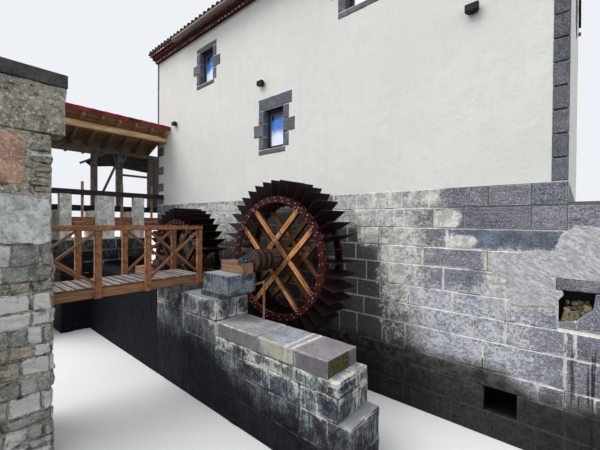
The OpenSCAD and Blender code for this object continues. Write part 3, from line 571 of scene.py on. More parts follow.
@finish
def cement():
    """A trowelled patch, with slanting marks."""
    s = settings("stone")
    f = Finish("cement_patch", 0.9, 0, 0.3)
    swept = f.noise(1, 6, 0.85, f.stretched(f.where, (12, 12, 34), 34))
    value = f.mix(f.spread(swept, 0.36, 0.66), shade(s.cement, 0.76), shade(s.cement, 1.14))
    value = f.mix(f.spread(f.noise(40, 4, 0.85), 0.50, 0.62, 0, 0.45), value, shade(s.cement, 0.66))
    value = f.mix(f.spread(f.noise(3, 5, 0.75), 0.50, 0.66, 0, 0.5), value, shade(s.cement, 0.78))
    f.bump(swept, 0.02, 0.8)
    return f.paint(value)


@finish
def lime_render():
    """Cream render, worked with a float, with painted shade on the faces that look down."""
    s = settings("stone")
    f = Finish("cream_render", 0.93)
    value = f.mix(f.spread(f.noise(0.5, 6, 0.6), 0.3, 0.7), shade(s.render, 0.965), s.render)
    value = f.mix(f.spread(f.noise(4, 6, 0.8), 0.42, 0.64, 0, 0.6), value, shade(s.render, 0.94))
    runs = f.noise(1, 4, 0.6, f.stretched(f.where, (5, 5, 0.6)))
    value = f.mix(f.spread(runs, 0.52, 0.66, 0, 0.5), value, shade(s.render, 0.95))
    f.bump(f.noise(38, 5, 0.75), 0.008, 0.6)
    f.bump(f.noise(5.5, 4, 0.6), 0.02, 0.25)
    # Faces that look down are painted nearly black: painted shade under the reveals.
    return f.paint(f.mix(f.facing("Z", -0.5, -0.9), value, (0.10, 0.10, 0.11)))


@finish
def dressed_stone():
    """Dressed stone, with painted shade on the undersides of the lintels."""
    s = settings("stone")
    f = Finish("dressed_stone", 0.85, 0, 0.3)
    value = stone_grain(f, s.dressed, 0.45)
    # Faces that look down are painted dark: painted shade under the lintels.
    return f.paint(f.mix(f.facing("Z", -0.5, -0.9), value, shade(s.dressed, 0.2)))


@finish
def race_stone(name, base, wet_top, tilt, limed, wiped=0.05, blocks=True):
    """Stone of the race and pier: black from the water up to wet_top, which falls by tilt downstream of the
    pier, and limed over its joints and ledges. Without blocks it is the core behind them."""
    s = settings("stone")
    f = Finish(name, 0.85, 0, 0.08, blocks)
    value = stone_grain(f, base, 0.6, 0.1)
    # Faces that look up are painted paler: painted light on the tops.
    value = f.mix(f.times(f.facing("Z", 0.5, 0.9), 0.55), value, shade(s.pale, 0.92))
    fall = f.times(f.minus(f.part("X"), PIER_END), tilt)
    height = f.plus(f.part("Z"), fall, f.times(f.minus(f.noise(2.2, 5, 0.65), 0.5), 0.9))
    sides = f.facing("Z", 0.6, 0.2)
    streak = f.noise(1, 6, 0.8, f.stretched(f.where, (34, 34, 3.0)))
    where = f.noise(1.9, 6, 0.8)
    value = f.mix(f.times(f.spread(where, 0.50, 0.60), sides, 0.75), value, shade(base, 0.36))
    value = f.mix(f.times(f.spread(streak, 0.50, 0.62), sides, 0.65), value, shade(base, 0.40))
    pale = f.times(f.spread(streak, 0.54, 0.42), f.spread(where, 0.52, 0.45), sides, 0.8 * limed)
    value = f.mix(pale, value, (0.64, 0.69, 0.67))
    value = smear_mortar(f, value, shade(s.mortar, 0.98), 0.8 * limed, 0.006, wiped)
    above = f.spread(height, wet_top - 0.1, wet_top + 0.6, 0.0, 0.5 * limed)
    edge = f.times(f.spread(f.rim(), 0.09, 0.0), 0.30 * limed)
    crust = f.gritty(f.plus(f.times(f.spread(f.noise(2.4, 5, 0.7), 0.42, 0.62), above), edge), 30, 0.10)
    value = f.mix(f.times(crust, 0.88), value, shade(s.mortar, 1.08))
    low = f.spread(height, wet_top + 0.3, wet_top - 0.25)
    value = f.mix(f.times(low, 0.95), value, f.mix(f.noise(6, 5), (0.02, 0.025, 0.04), (0.08, 0.09, 0.12)))
    f.feed(f.shader.inputs["Roughness"], f.spread(low, 0.0, 1.0, 0.9, 0.7))
    return f.paint(value)


@finish
def coping_stone():
    """Pale coping with lime at its joints, and a green stain on the end that the spray reaches."""
    s = settings("stone")
    f = Finish("coping_stone", 0.84, 0, 0.3)
    value = stone_grain(f, s.coping, 0.4, 0.1)
    # The sides are painted darker than the top: painted shade.
    side = f.facing("Z", 0.8, 0.3)
    value = f.mix(f.times(side, 0.5), value, shade(s.coping, 0.46))
    x = f.part("X")
    value = f.mix(f.times(f.spread(x, 3.15, 3.25), 0.35), value, (0.36, 0.33, 0.39))
    value = smear_mortar(f, value, shade(s.mortar, 1.12), f.spread(x, 3.75, 3.2, 0.3, 0.95), 0.012, 0.08)
    bands = f.most(*(f.inside(x0, x1, 0, CAD_HIGH.z, soft) for x0, x1, soft in COPING_JOINTS))
    bands = f.times(bands, f.spread(f.noise(14, 5, 0.8), 0.38, 0.5), 0.85)
    value = f.mix(bands, value, shade(s.mortar, 1.12))
    runs = f.times(side, f.spread(x, 2.3, 2.6), f.spread(x, 3.35, 3.1), 0.64)
    value = f.mix(f.times(f.gritty(runs, 24, 0.1), 0.85), value, (0.74, 0.73, 0.64))
    end = f.times(f.facing("X", 0.4, 0.8), f.spread(x, 3.6, 3.7))
    ragged = f.plus(f.part("Y"), f.times(f.noise(12, 5, 0.75), 0.30))
    moss = f.mix(f.spread(f.noise(22, 6, 0.95), 0.40, 0.64), shade(s.moss, 0.35), shade(s.moss, 1.6))
    value = f.mix(f.times(end, f.spread(ragged, -2.08, -2.20), 0.96), value, moss)
    return f.paint(value)


@finish
def rough_wall(name, base, grain, contrast):
    """Rough cast of one colour, thrown on with pebbles that leave dark holes."""
    f = Finish(name, 0.95, 0, 0.15)
    value = f.mix(f.spread(f.noise(3.5, 6, 0.75), 0.34, 0.66), shade(base, 0.8), shade(base, 1.12))
    holes = f.noise(grain, 6, 0.8)
    value = f.mix(f.spread(holes, 0.47, 0.39, 0, contrast), value, shade(base, 0.22))
    value = f.mix(f.spread(f.noise(grain * 1.3, 6, 0.8), 0.52, 0.60, 0, contrast), value, shade(base, 1.45))
    f.bump(holes, 0.05, 0.9)
    return f.paint(value)


@finish
def rubble(name, base, contrast):
    """Rubble whose stones differ in colour, with earth between them."""
    f = Finish(name, 0.95, 0, 0.15)
    value = stone_grain(f, base, contrast, 0.2)
    value = f.mix(f.spread(f.attribute("tone", "Fac"), 0.6, 0.7, 0, 0.6), value, shade(base, 1.45))
    value = f.mix(f.spread(f.noise(2.6, 6, 0.8), 0.52, 0.62, 0, 0.6), value, shade(base, 0.28))
    f.bump(f.noise(17, 5, 0.8), 0.04, 0.8)
    earth = f.mix(f.spread(f.noise(15, 6, 0.9), 0.42, 0.60), shade(base, 0.16), shade(base, 0.62))
    return f.paint(smear_mortar(f, value, earth, 0.95, 0.009, 0.13))


def timber_grain(f, base, grey, edge=0.012):
    """Sawn timber whose grain follows each piece, with edges painted dark for a width of `edge`: painted
    shade at the edges and in the gaps between pieces.
    """
    along = f.grain()
    tone = f.attribute("tone", "Fac")
    streak = f.noise(1, 4, 0.65, f.stretched(along, (2.2, 60, 60)))
    band = f.noise(1, 3, 0.5, f.stretched(along, (0.9, 13, 13)))
    value = f.mix(f.spread(streak, 0.36, 0.64), shade(base, 0.66), shade(base, 1.12))
    value = f.mix(f.spread(band, 0.44, 0.66, 0, 0.7), value, shade(base, 0.5))
    value = f.mix(f.times(tone, 0.5), value, shade(base, 0.6))
    grime = f.spread(f.noise(3.6, 6, 0.75), 0.48, 0.64, 0, grey)
    value = f.mix(grime, value, shade(base, 0.36))
    # Painted shade: the edges of each piece are darkened, as the gaps between pieces are shaded.
    value = f.mix(f.spread(f.rim(), edge, edge / 12, 0, 0.8), value, shade(base, 0.25))
    f.bump(streak, 0.004, 0.5)
    return value


@finish
def timber(name, base, gloss, grey, shadow=0.0, edge=0.012):
    """Plain timber; shadow darkens the pieces at the back of the canopy."""
    f = Finish(name, 1 - gloss, 0, 0.3)
    value = timber_grain(f, base, grey, edge)
    if shadow:
        value = f.mix(f.spread(f.part("X"), -5.45, -6.3, 0, shadow), value, shade(base, 0.16))
    return f.paint(value)


@finish
def arm_timber(name, base):
    """The wheel arms: honey-coloured on their faces, with wet streaks, stained at the rim, and black on their
    sides and on the arms behind, which is painted shade.
    """
    f = Finish(name, 0.6, 0, 0.15)
    value = timber_grain(f, base, 0.3)
    along = f.size(f.part("X", f.attribute("local")))
    lap = f.size(f.minus(f.size(f.minus(along, ARM_OFF)), ARM_WIDE / 2))
    value = f.mix(f.spread(lap, 0.008, 0.003, 0, 0.75), value, shade(base, 0.12))
    stained = f.plus(along, f.times(f.noise(7, 5, 0.7), 0.5))
    value = f.mix(f.spread(stained, 1.10, 1.36, 0, 0.85), value, (0.22, 0.10, 0.06))
    value = f.mix(f.times(f.spread(stained, 0.66, 0.42), 0.6), value, shade(base, 0.25))
    value = f.mix(f.spread(f.noise(2.7, 6, 0.8), 0.53, 0.58, 0, 0.7), value, shade(base, 0.26))
    # The sides of the arms, whose normals turn away from Y, are painted nearly black: painted shade.
    face = f.size(f.part("Y", f.node("ShaderNodeNewGeometry").outputs["Normal"]))
    value = f.mix(f.spread(face, 0.8, 0.4, 0, 0.92), value, (0.06, 0.035, 0.028))
    # The arms on the far side of the wheel are painted darker: painted shade.
    return f.paint(f.mix(f.spread(f.part("Y"), -1.45, -1.10, 0, 0.66), value, (0.12, 0.09, 0.08)))


@finish
def drum_timber():
    """The wheel shafts: wet dark timber with streaks along it, rust washed down from the hoops and patches of
    painted blue-grey sheen.
    """
    base = settings("iron").shaft
    f = Finish("drum_timber", 0.6, 0, 0.25)
    streak = f.noise(1, 6, 0.8, f.stretched(f.where, (38, 1.6, 38)))
    value = f.mix(f.spread(streak, 0.40, 0.60), shade(base, 0.45), shade(base, 1.25))
    value = f.mix(f.spread(f.noise(6, 6, 0.8), 0.50, 0.62, 0, 0.6), value, (0.20, 0.10, 0.08))
    # Blue-grey patches are a painted sheen.
    value = f.mix(f.spread(f.noise(11, 6, 0.8), 0.56, 0.64, 0, 0.5), value, (0.24, 0.27, 0.34))
    f.bump(streak, 0.006, 0.7)
    return f.paint(value)


@finish
def rusty_iron(name, base, rust_share, rough):
    """Iron with rust that blooms over it, and painted shade on the far side of a wheel."""
    f = Finish(name, rough, 0.0, 0.12)
    value = f.mix(f.spread(f.noise(16, 5, 0.8), 0.38, 0.62), shade(base, 0.45), shade(base, 1.4))
    value = f.mix(f.spread(f.noise(5, 6, 0.75), 0.50, 0.66, 0, rust_share), value, (0.40, 0.17, 0.10))
    f.bump(f.noise(60, 3, 0.7), 0.004, 0.6)
    # Painted shade: pieces towards the far side, along Y, are darkened.
    return f.paint(f.mix(f.spread(f.part("Y"), -1.50, -1.30, 0, 0.75), value, shade(base, 0.3)))


@finish
def blade_iron():
    """Wet, nearly black sheet that is rusty in places, with patches of painted bluish sheen, and pale along
    its edges.
    """
    s = settings("iron")
    f = Finish("blade_iron", 0.55, 0.0, 0.12)
    tone = f.attribute("tone", "Fac")
    value = f.mix(tone, shade(s.blade, 0.55), shade(s.blade, 1.3))
    value = f.mix(f.spread(f.noise(7, 5, 0.75), 0.48, 0.64, 0, 0.55), value, (0.22, 0.09, 0.09))
    # Bluish patches are a painted sheen.
    value = f.mix(f.spread(f.noise(9, 5, 0.7), 0.56, 0.66, 0, 0.3), value, (0.10, 0.12, 0.17))
    value = f.mix(f.spread(f.rim(), 0.010, 0.002, 0, 0.4), value, (0.30, 0.26, 0.25))
    f.bump(f.noise(40, 3, 0.7), 0.003, 0.5)
    return f.paint(value)


@finish
def painted(name, base, rough, metal):
    """Paint or plain metal of one colour."""
    f = Finish(name, rough, metal, 0.2)
    value = f.mix(f.noise(9, 4, 0.6), shade(base, 0.85), shade(base, 1.12))
    f.bump(f.noise(120, 2), 0.001, 0.3)
    return f.paint(value)


@finish
def window_glass():
    """Panes painted with a reflection of the sky: blue above, white below and painted shade at the top; they
    glow a little.
    """
    s = settings("iron")
    f = Finish("window_pane", 0.05)
    height = f.plus(f.part("Z", f.attribute("local")), f.times(f.noise(2.5, 3, 0.5), 0.5))
    # A painted reflection of the sky, with painted shade at the top of the pane.
    sky = f.mix(f.spread(height, 0.32, 0.05), s.glass, (0.86, 0.90, 0.97))
    painted_pane = f.mix(f.spread(height, 0.42, 0.60), sky, shade(s.glass, 0.3))
    # The pane glows with its painted reflection, though it is no lamp.
    f.feed(f.shader.inputs["Emission Color"], painted_pane)
    f.shader.inputs["Emission Strength"].default_value = 0.5
    return f.paint(f.mix(0.45, painted_pane, (0, 0, 0)))


@finish
def clay(name, base, lichen):
    """Fired clay, darker and lighter from tile to tile, with lichen."""
    f = Finish(name, 0.9, 0, 0.2)
    tone = f.attribute("tone", "Fac")
    value = f.mix(tone, shade(base, 1.2), shade(base, 0.58))
    value = f.mix(f.spread(f.noise(5, 6, 0.7), 0.45, 0.7, 0, 0.6), value, shade(base, 0.6))
    value = f.mix(f.spread(f.noise(18, 4, 0.7), 0.58, 0.7, 0, lichen), value, (0.62, 0.60, 0.54))
    f.bump(f.noise(60, 3, 0.7), 0.004, 0.6)
    return f.paint(value)


# Shapes

class Side:
    """One upright face of the mill: u runs along it, z up, and out away from it."""

    def __init__(self, start, along, out):
        self.start, self.along, self.out = Vector(start), Vector(along), Vector(out)
        self.turn = Matrix((self.along, -self.out, UP)).transposed().to_4x4()

    def at(self, u, z, out=0.0):
        """The place at u and z, moved out of the face."""
        return self.start + self.along * u + UP * z + self.out * out

    def box(self, u0, u1, z0, z1, out, sunk):
        """The matrix that turns a unit cube into a block from u0 to u1 and z0 to z1, sunk into the face."""
        middle = self.at((u0 + u1) / 2, (z0 + z1) / 2, (out - sunk) / 2)
        return Matrix.Translation(middle) @ self.turn @ Matrix.Diagonal((u1 - u0, out + sunk, z1 - z0, 1))


class Blocks:
    """Many separate blocks in one mesh, each with its own tone, its own coordinates and its half sizes."""

    def __init__(self, seed=1):
        self.mesh = bmesh.new()
        self.piece = self.mesh.verts.layers.int.new("piece")
        self.marks = []
        self.draw = random.Random(seed)

    def mark(self, verts, turn):
        """Makes vertices one block, with its own axes and its own tone."""
        turn = turn.to_3x3().inverted_safe()
        spots = [turn @ v.co for v in verts]
        low, high = (Vector(map(pick, zip(*spots))) for pick in (min, max))
        for v in verts:
            v[self.piece] = len(self.marks)
        self.marks.append((turn, (low + high) / 2, (high - low) / 2, self.draw.random()))

    def add(self, matrix):
        """A block from the matrix that a unit cube takes."""
        verts = bmesh.ops.create_cube(self.mesh, size=1, matrix=matrix)["verts"]
        self.mark(verts, matrix.to_3x3().normalized().to_4x4())
        return verts

    def box(self, low, high):
        """A level block between two corners."""
        low, high = Vector(low), Vector(high)
        return self.add(Matrix.Translation((low + high) / 2) @ Matrix.Diagonal((*(high - low), 1)))

    def patch(self, side, points, out, sunk=0.02, wander=0.0):
        """A flat piece on a wall. points are its outline as u and z, and wander makes that ragged."""
        face = self.mesh.faces.new([self.mesh.verts.new(side.at(u, z, -sunk)) for u, z in points])
        if wander:
            parts = bmesh.ops.subdivide_edges(self.mesh, edges=face.edges[:], cuts=5)["geom_split"]
            face = next(f for g in parts if isinstance(g, bmesh.types.BMVert) for f in g.link_faces)
            for v in face.verts:
                v.co += side.along * wander * noise.noise(v.co * 7)
                v.co += UP * wander * noise.noise(v.co * 7 + Vector((5, 0, 3)))
        made = bmesh.ops.extrude_face_region(self.mesh, geom=[face])["geom"]
        verts = [g for g in made if isinstance(g, bmesh.types.BMVert)]
        bmesh.ops.translate(self.mesh, verts=verts, vec=side.out * (out + sunk))
        group = list({v for f in {f for v in verts for f in v.link_faces} for v in f.verts})
        faces = list({f for v in group for f in v.link_faces})
        bmesh.ops.recalc_face_normals(self.mesh, faces=faces)
        self.mark(group, side.turn)

    def bar(self, start, end, width, depth, across=UP):
        """A bar from start to end, width along `across` and depth the other way."""
        start, end = Vector(start), Vector(end)
        x = (end - start).normalized()
        y = across.cross(x).normalized()
        turn = Matrix((x, y, x.cross(y))).transposed().to_4x4()
        size = Matrix.Diagonal(((end - start).length, depth, width, 1))
        return self.add(Matrix.Translation((start + end) / 2) @ turn @ size)

    def bevel(self, offset, segments=2):
        """Rounds the blocks' edges."""
        edges = [e for e in self.mesh.edges if e.is_manifold and e.calc_face_angle(0) > 0.35]
        bmesh.ops.bevel(self.mesh, geom=edges, offset=offset, offset_type="OFFSET", segments=segments,
                        profile=0.5, affect="EDGES", material=-1, clamp_overlap=True)

    def split(self, cell):
        """Cuts long edges so that the faces can be made uneven."""
        for _ in range(2):
            edges = [e for e in self.mesh.edges if e.calc_length() > cell]
            if edges:
                bmesh.ops.subdivide_edges(self.mesh, edges=edges, cuts=1, use_grid_fill=True)

    def loosen(self, amount):
        """Shifts every corner along its wall a little, so that no stone is square."""
        for v in self.mesh.verts:
            back = self.marks[v[self.piece]][0].transposed()
            along, up = (self.draw.uniform(-amount, amount) for _ in range(2))
            v.co += back @ Vector((along, 0, up))

    def roughen(self, amount, scale=3.0):
        """Moves the surface in and out by soft noise."""
        self.mesh.normal_update()
        moves = []
        for v in self.mesh.verts:
            big = noise.noise(v.co * scale)
            small = noise.noise(v.co * scale * 4.3 + Vector((9, 3, 5)))
            moves.append(v.normal * amount * (big + 0.5 * small))
        for v, move in zip(self.mesh.verts, moves):
            v.co += move

    def finish(self, name, material, body="mill", slot=None, replaces=()):
        """Gives every vertex its block's tone, coordinates and half sizes, and makes the piece."""
        tone = self.mesh.verts.layers.float.new("tone")
        local = self.mesh.verts.layers.float_vector.new("local")
        half = self.mesh.verts.layers.float_vector.new("half")
        for v in self.mesh.verts:
            turn, middle, size, value = self.marks[v[self.piece]]
            v[tone] = value
            v[local] = turn @ v.co - middle
            v[half] = size
        self.mesh.verts.layers.int.remove(self.mesh.verts.layers.int["piece"])
        return put(self.mesh, name, material, body, replaces)


def put(shape, name, material, body="mill", replaces=()):
    """Turns a bmesh into a piece that rides on a body and stays inside the CAD model's box."""
    for v in shape.verts:
        v.co = [min(max(c, low), high) for c, low, high in zip(v.co, CAD_LOW, CAD_HIGH)]
    mesh = bpy.data.meshes.new(name)
    shape.to_mesh(mesh)
    shape.free()
    mesh.materials.append(material)
    piece = bpy.data.objects.new(name, mesh)
    bpy.context.scene.collection.objects.link(piece)
    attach(piece, body)
    if replaces:
        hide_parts(*replaces)
    return piece


def coat(material, *nodes):
    """Gives CAD nodes a finish."""
    for name in nodes:
        NODES[name].data.materials.clear()
        NODES[name].data.materials.append(material)


def steady(place):
    """A key that sorts places the same way in each run."""
    return tuple(round(value, 4) for value in place)


def islands(shape):
    """The separate solids of a mesh, as lists of vertices."""
    left = set(shape.verts)
    found = []
    while left:
        start = left.pop()
        group, edge = [start], [start]
        while edge:
            for e in edge.pop().link_edges:
                for v in e.verts:
                    if v in left:
                        left.remove(v)
                        group.append(v)
                        edge.append(v)
        found.append(group)
    return sorted(found, key=lambda group: steady(map(min, zip(*(v.co for v in group)))))


def solids(node):
    """The lowest and highest corners of each of a CAD node's solids."""
    shape = bmesh.new()
    shape.from_mesh(NODES[node].data)
    bmesh.ops.remove_doubles(shape, verts=shape.verts, dist=1e-5)
    found = []
    for group in islands(shape):
        spots = [v.co for v in group]
        found.append(tuple(Vector(map(pick, zip(*spots))) for pick in (min, max)))
    shape.free()
    return found


def node_blocks(node, seed=1, level=False):
    """A CAD node's solids as blocks, each with its grain along its longest edge, or level ones along X."""
    made = Blocks(seed)
    source = NODES[node].data
    made.mesh.from_mesh(source)
    made.piece = made.mesh.verts.layers.int.get("piece") or made.mesh.verts.layers.int.new("piece")
    bmesh.ops.remove_doubles(made.mesh, verts=made.mesh.verts, dist=1e-5)
    bmesh.ops.dissolve_limit(made.mesh, angle_limit=math.radians(1), verts=made.mesh.verts,
                             edges=made.mesh.edges)
    for group in islands(made.mesh):
        if level:
            made.mark(group, Matrix())
            continue
        ends = [[v.co for v in e.verts] for v in group for e in v.link_edges]
        a, b = max(ends, key=lambda pair: steady(((pair[1] - pair[0]).length, *(pair[0] + pair[1]))))
        x = max((b - a).normalized(), (a - b).normalized(), key=steady)
        y = max((UP.cross(x), Vector((1, 0, 0)).cross(x)), key=lambda w: w.length).normalized()
        made.mark(group, Matrix((x, y, x.cross(y))).transposed().to_4x4())
    for layer in list(made.mesh.loops.layers.uv.values()):
        made.mesh.loops.layers.uv.remove(layer)
    return made


def slices(blocks, step, axes="XYZ"):
    """Cuts a mesh at even steps, so that its large faces can be made uneven."""
    low = Vector(map(min, zip(*(v.co for v in blocks.mesh.verts))))
    high = Vector(map(max, zip(*(v.co for v in blocks.mesh.verts))))
    for axis in range(3):
        if "XYZ"[axis] not in axes:
            continue
        normal = Vector([float(axis == i) for i in range(3)])
        count = int((high[axis] - low[axis]) / step)
        for i in range(1, count + 1):
            cut = low[axis] + (high[axis] - low[axis]) * i / (count + 1)
            shape = blocks.mesh
            bmesh.ops.bisect_plane(shape, geom=shape.verts[:] + shape.edges[:] + shape.faces[:],
                                   plane_co=normal * cut, plane_no=normal)


def dress_node(node, name, material, slot, worn, rough=0.0, step=None, seed=1, scale=3.0, level=False):
    """A CAD node's solids with worn edges and uneven faces."""
    made = node_blocks(node, seed, level)
    made.bevel(worn)
    if step:
        slices(made, step)
    if rough:
        made.roughen(rough, scale)
    return made.finish(name, material, NODES[node]["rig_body"], slot, (node,))


def lay_courses(blocks, side, u0, u1, beds, mean, gaps=(), joints=None, relief=None):
    """Courses of stones from u0 to u1. mean is a stone's mean length or a function of u and the row, gaps are
    openings given as u0, u1, z0, z1, and joints may list a course's upright joints by its lowest height."""
    s = settings("stone")
    half = s.joint / 2
    for row, (low, high) in enumerate(zip(beds, beds[1:])):
        fixed = (joints or {}).get(low, [])
        ends = [u0]
        while ends[-1] < u1:
            u = ends[-1]
            size = (mean(u, row) if callable(mean) else mean) * blocks.draw.uniform(0.7, 1.35)
            if u == u0:
                size *= blocks.draw.uniform(0.5, 1.0)
            step = u + size
            ahead = [j for j in fixed if j > u + 0.01]
            if ahead and (step > fixed[0] - 0.25 or u >= fixed[0] - 0.01):
                step = ahead[0]
            if u1 - step < size * 0.3:
                step = u1
            ends.append(step)
        for a, b in zip(ends, ends[1:]):
            spans = [(a, b)]
            for g0, g1, z0, z1 in gaps:
                if min(high, z1) - max(low, z0) > 0.03:
                    cut = [span for p, q in spans for span in ((p, min(q, g0)), (max(p, g1), q))]
                    spans = [span for span in cut if span[1] > span[0]]
            for p, q in spans:
                if q - p > 0.05:
                    out = (relief or s.proud) * blocks.draw.uniform(0.5, 1.0)
                    blocks.add(side.box(p + half, q - half, low + half, high - half, out, 0.03))


def box_sides(low, high):
    """The four upright faces of a box, each with its length."""
    return {"front": (Side((low.x, low.y, 0), (1, 0, 0), (0, -1, 0)), high.x - low.x),
            "right": (Side((high.x, low.y, 0), (0, 1, 0), (1, 0, 0)), high.y - low.y),
            "back": (Side((high.x, high.y, 0), (-1, 0, 0), (0, 1, 0)), high.x - low.x),
            "left": (Side((low.x, high.y, 0), (0, -1, 0), (-1, 0, 0)), high.y - low.y)}


def skin_box(blocks, low, high, beds, mean, faces="front back left right", relief=None):
    """Courses of stones on some of the upright faces of a box."""
    sides = box_sides(Vector(low), Vector(high))
    for face in faces.split():
        side, run = sides[face]
        over = 0.008 if face in ("front", "back") else 0
        lay_courses(blocks, side, -over, run + over, beds, mean, relief=relief)


def even_beds(low, high, step):
    """Beds from low to high that are about a step apart."""
    count = max(1, round((high - low) / step))
    return [low + (high - low) * i / count for i in range(count + 1)]


def stone_skin(blocks, name, material, slot, cell=0.17, rough=0.005, worn=None):
    """Wears the edges of laid stones and makes their faces uneven; cell is how finely, in metres."""
    blocks.bevel(worn or settings("stone").worn * 0.6, 1)
    blocks.split(cell)
    blocks.roughen(rough, 4.0)
    return blocks.finish(name, material, slot=slot)


def hoop(shape, middle, r0, r1, y0, y1, steps):
    """A ring of rectangular section about the line along Y through middle."""
    section = ((r0, y0), (r1, y0), (r1, y1), (r0, y1))
    spots = [shape.verts.new((middle.x + r, y, middle.z)) for r, y in section]
    edges = [shape.edges.new(pair) for pair in zip(spots, spots[1:] + spots[:1])]
    bmesh.ops.spin(shape, geom=spots + edges, cent=(middle.x, 0, middle.z), axis=(0, 1, 0), angle=2 * math.pi,
                   steps=steps, use_merge=True)


def bolt(shape, at, towards, width, height=0.014):
    """A six-sided bolt head that stands on `at` and points `towards`."""
    turn = Vector(towards).to_track_quat("Z", "Y").to_matrix().to_4x4()
    place = Matrix.Translation(Vector(at) + Vector(towards) * height / 2)
    bmesh.ops.create_cone(shape, cap_ends=True, segments=6, radius1=width / 2, radius2=width * 0.42,
                          depth=height, matrix=place @ turn)


def row_of_boards(boards, low, high, count, axis, gap=0.003):
    """Boards side by side that fill a box along one of its axes."""
    low, high = Vector(low), Vector(high)
    foot, width = low[axis], (high[axis] - low[axis]) / count
    for i in range(count):
        low[axis], high[axis] = foot + i * width, foot + (i + 1) * width - gap
        boards.box(low, high)


# Operators

FRONT = Side((0, BASE_LOW.y, 0), (1, 0, 0), (0, -1, 0))


class MILL_OT_base_walls(Operator):
    """Lays the ashlar of the stone base over its mortar"""

    bl_idname = "mill.base_walls"
    bl_label = "Stone base"

    def execute(self, context):
        coat(mortar("front_mortar", 1.2, True), "front_base_wall")
        coat(mortar("side_mortar", 0.9, False), "back_base_wall", "left_base_wall", "right_base_wall")
        skin = Blocks(11)
        lay_courses(skin, FRONT, BASE_LOW.x, BASE_HIGH.x, BEDS, lambda u, row: 0.5 if u < 2.4 else 0.75,
                    (CULVERT, RECESS), FRONT_JOINTS)
        stone_skin(skin, "front_base_stones", base_stone("front_stone", True), "base_stone", rough=0.008)
        others = Blocks(12)
        sides = box_sides(BASE_LOW, BACK_HIGH)
        (back, span), (left, depth), (right, depth) = (sides[name] for name in ("back", "left", "right"))
        lay_courses(others, back, -settings("stone").proud * 0.5, span, BEDS, 0.85)
        lay_courses(others, left, 0, depth, BEDS, 0.75)
        start = TERRACE_HIGH.y - BASE_LOW.y
        lay_courses(others, right, start, depth, BEDS, 0.75)
        lay_courses(others, right, 0, start, [TERRACE_HIGH.z + 0.01, BEDS[-1]], 0.7)
        stone_skin(others, "side_base_stones", base_stone("side_stone", False), "base_stone", cell=0.3)
        return {"FINISHED"}


class MILL_OT_terrace_wall(Operator):
    """Builds the lower wall downstream, with its broken pocket and its patch of cement"""

    bl_idname = "mill.terrace_wall"
    bl_label = "Terrace wall"

    def execute(self, context):
        coat(mortar("front_mortar", 1.2, True), "terrace_wall")
        s = settings("stone")
        stone = base_stone("front_stone", True)
        skin = Blocks(13)
        beds = [bed for bed in BEDS if bed < TERRACE_HIGH.z]
        end = TERRACE_HIGH.x - 0.01
        lay_courses(skin, FRONT, TERRACE_LOW.x, end, beds, 0.6, (RECESS,), FRONT_JOINTS)
        back = Side((end, TERRACE_HIGH.y, 0), (-1, 0, 0), (0, 1, 0))
        lay_courses(skin, back, 0, TERRACE_HIGH.x - TERRACE_LOW.x - s.proud, beds, 0.6)
        skin.patch(FRONT, POCKET_RIGHT, 0.008, 0.2)
        skin.patch(FRONT, POCKET_FOOT, 0.006, 0.2)
        stone_skin(skin, "terrace_stones", stone, "base_stone", rough=0.008)
        ledge = Blocks(14)
        ledge.add(FRONT.box(*POCKET_LEDGE, 0.026, 0.05))
        stone_skin(ledge, "pocket_ledge", rubble("ledge_stone", s.base, 0.5), "base_stone", rough=0.012)
        fill = Blocks(15)
        for row in range(6):
            for i in range(6 - row // 2):
                size = Vector([fill.draw.uniform(0.05, 0.11) for _ in "XYZ"])
                low = Vector((RECESS[0] + 0.01 + i * 0.065 + row * 0.012, BASE_LOW.y + 0.02 + row * 0.03,
                              RECESS[2] + row * 0.058))
                fill.box(low, low + size)
        fill.loosen(0.012)
        stone_skin(fill, "pocket_rubble", rubble("pocket_rubble", s.pocket, 0.6), "base_stone", cell=0.05,
                   rough=0.02, worn=0.012)
        patch = Blocks(16)
        patch.patch(FRONT, PATCH, 0.017, 0.02, 0.03)
        patch.bevel(0.006, 2)
        patch.finish("cement_patch", cement(), slot="base_stone")
        return {"FINISHED"}


class MILL_OT_rendered_walls(Operator):
    """Renders the upper walls and dresses their quoins and window stones"""

    bl_idname = "mill.rendered_walls"
    bl_label = "Rendered walls"

    def execute(self, context):
        coat(lime_render(), "front_wall", "back_wall", "left_gable_wall", "right_gable_wall")
        stone = dressed_stone()
        dress_node("quoins", "quoin_stones", stone, "dressed_stone", 0.016, 0.004, 0.16, 21)
        dress_node("window_surrounds", "window_stones", stone, "dressed_stone", 0.022, 0.012, 0.08, 22, 6.0)
        bedding = Blocks(24)
        for low, high in solids("quoins") + solids("window_surrounds"):
            beds = 0.022 if max(high.x - low.x, high.y - low.y) > 0.6 and high.z - low.z < 0.3 else -0.012
            inner = Vector((0.012, 0.012, beds))
            bedding.box(low + inner, high - inner)
        bedding.finish("stone_bedding", mortar("bedding_mortar", 1.15, False), slot="render")
        return {"FINISHED"}


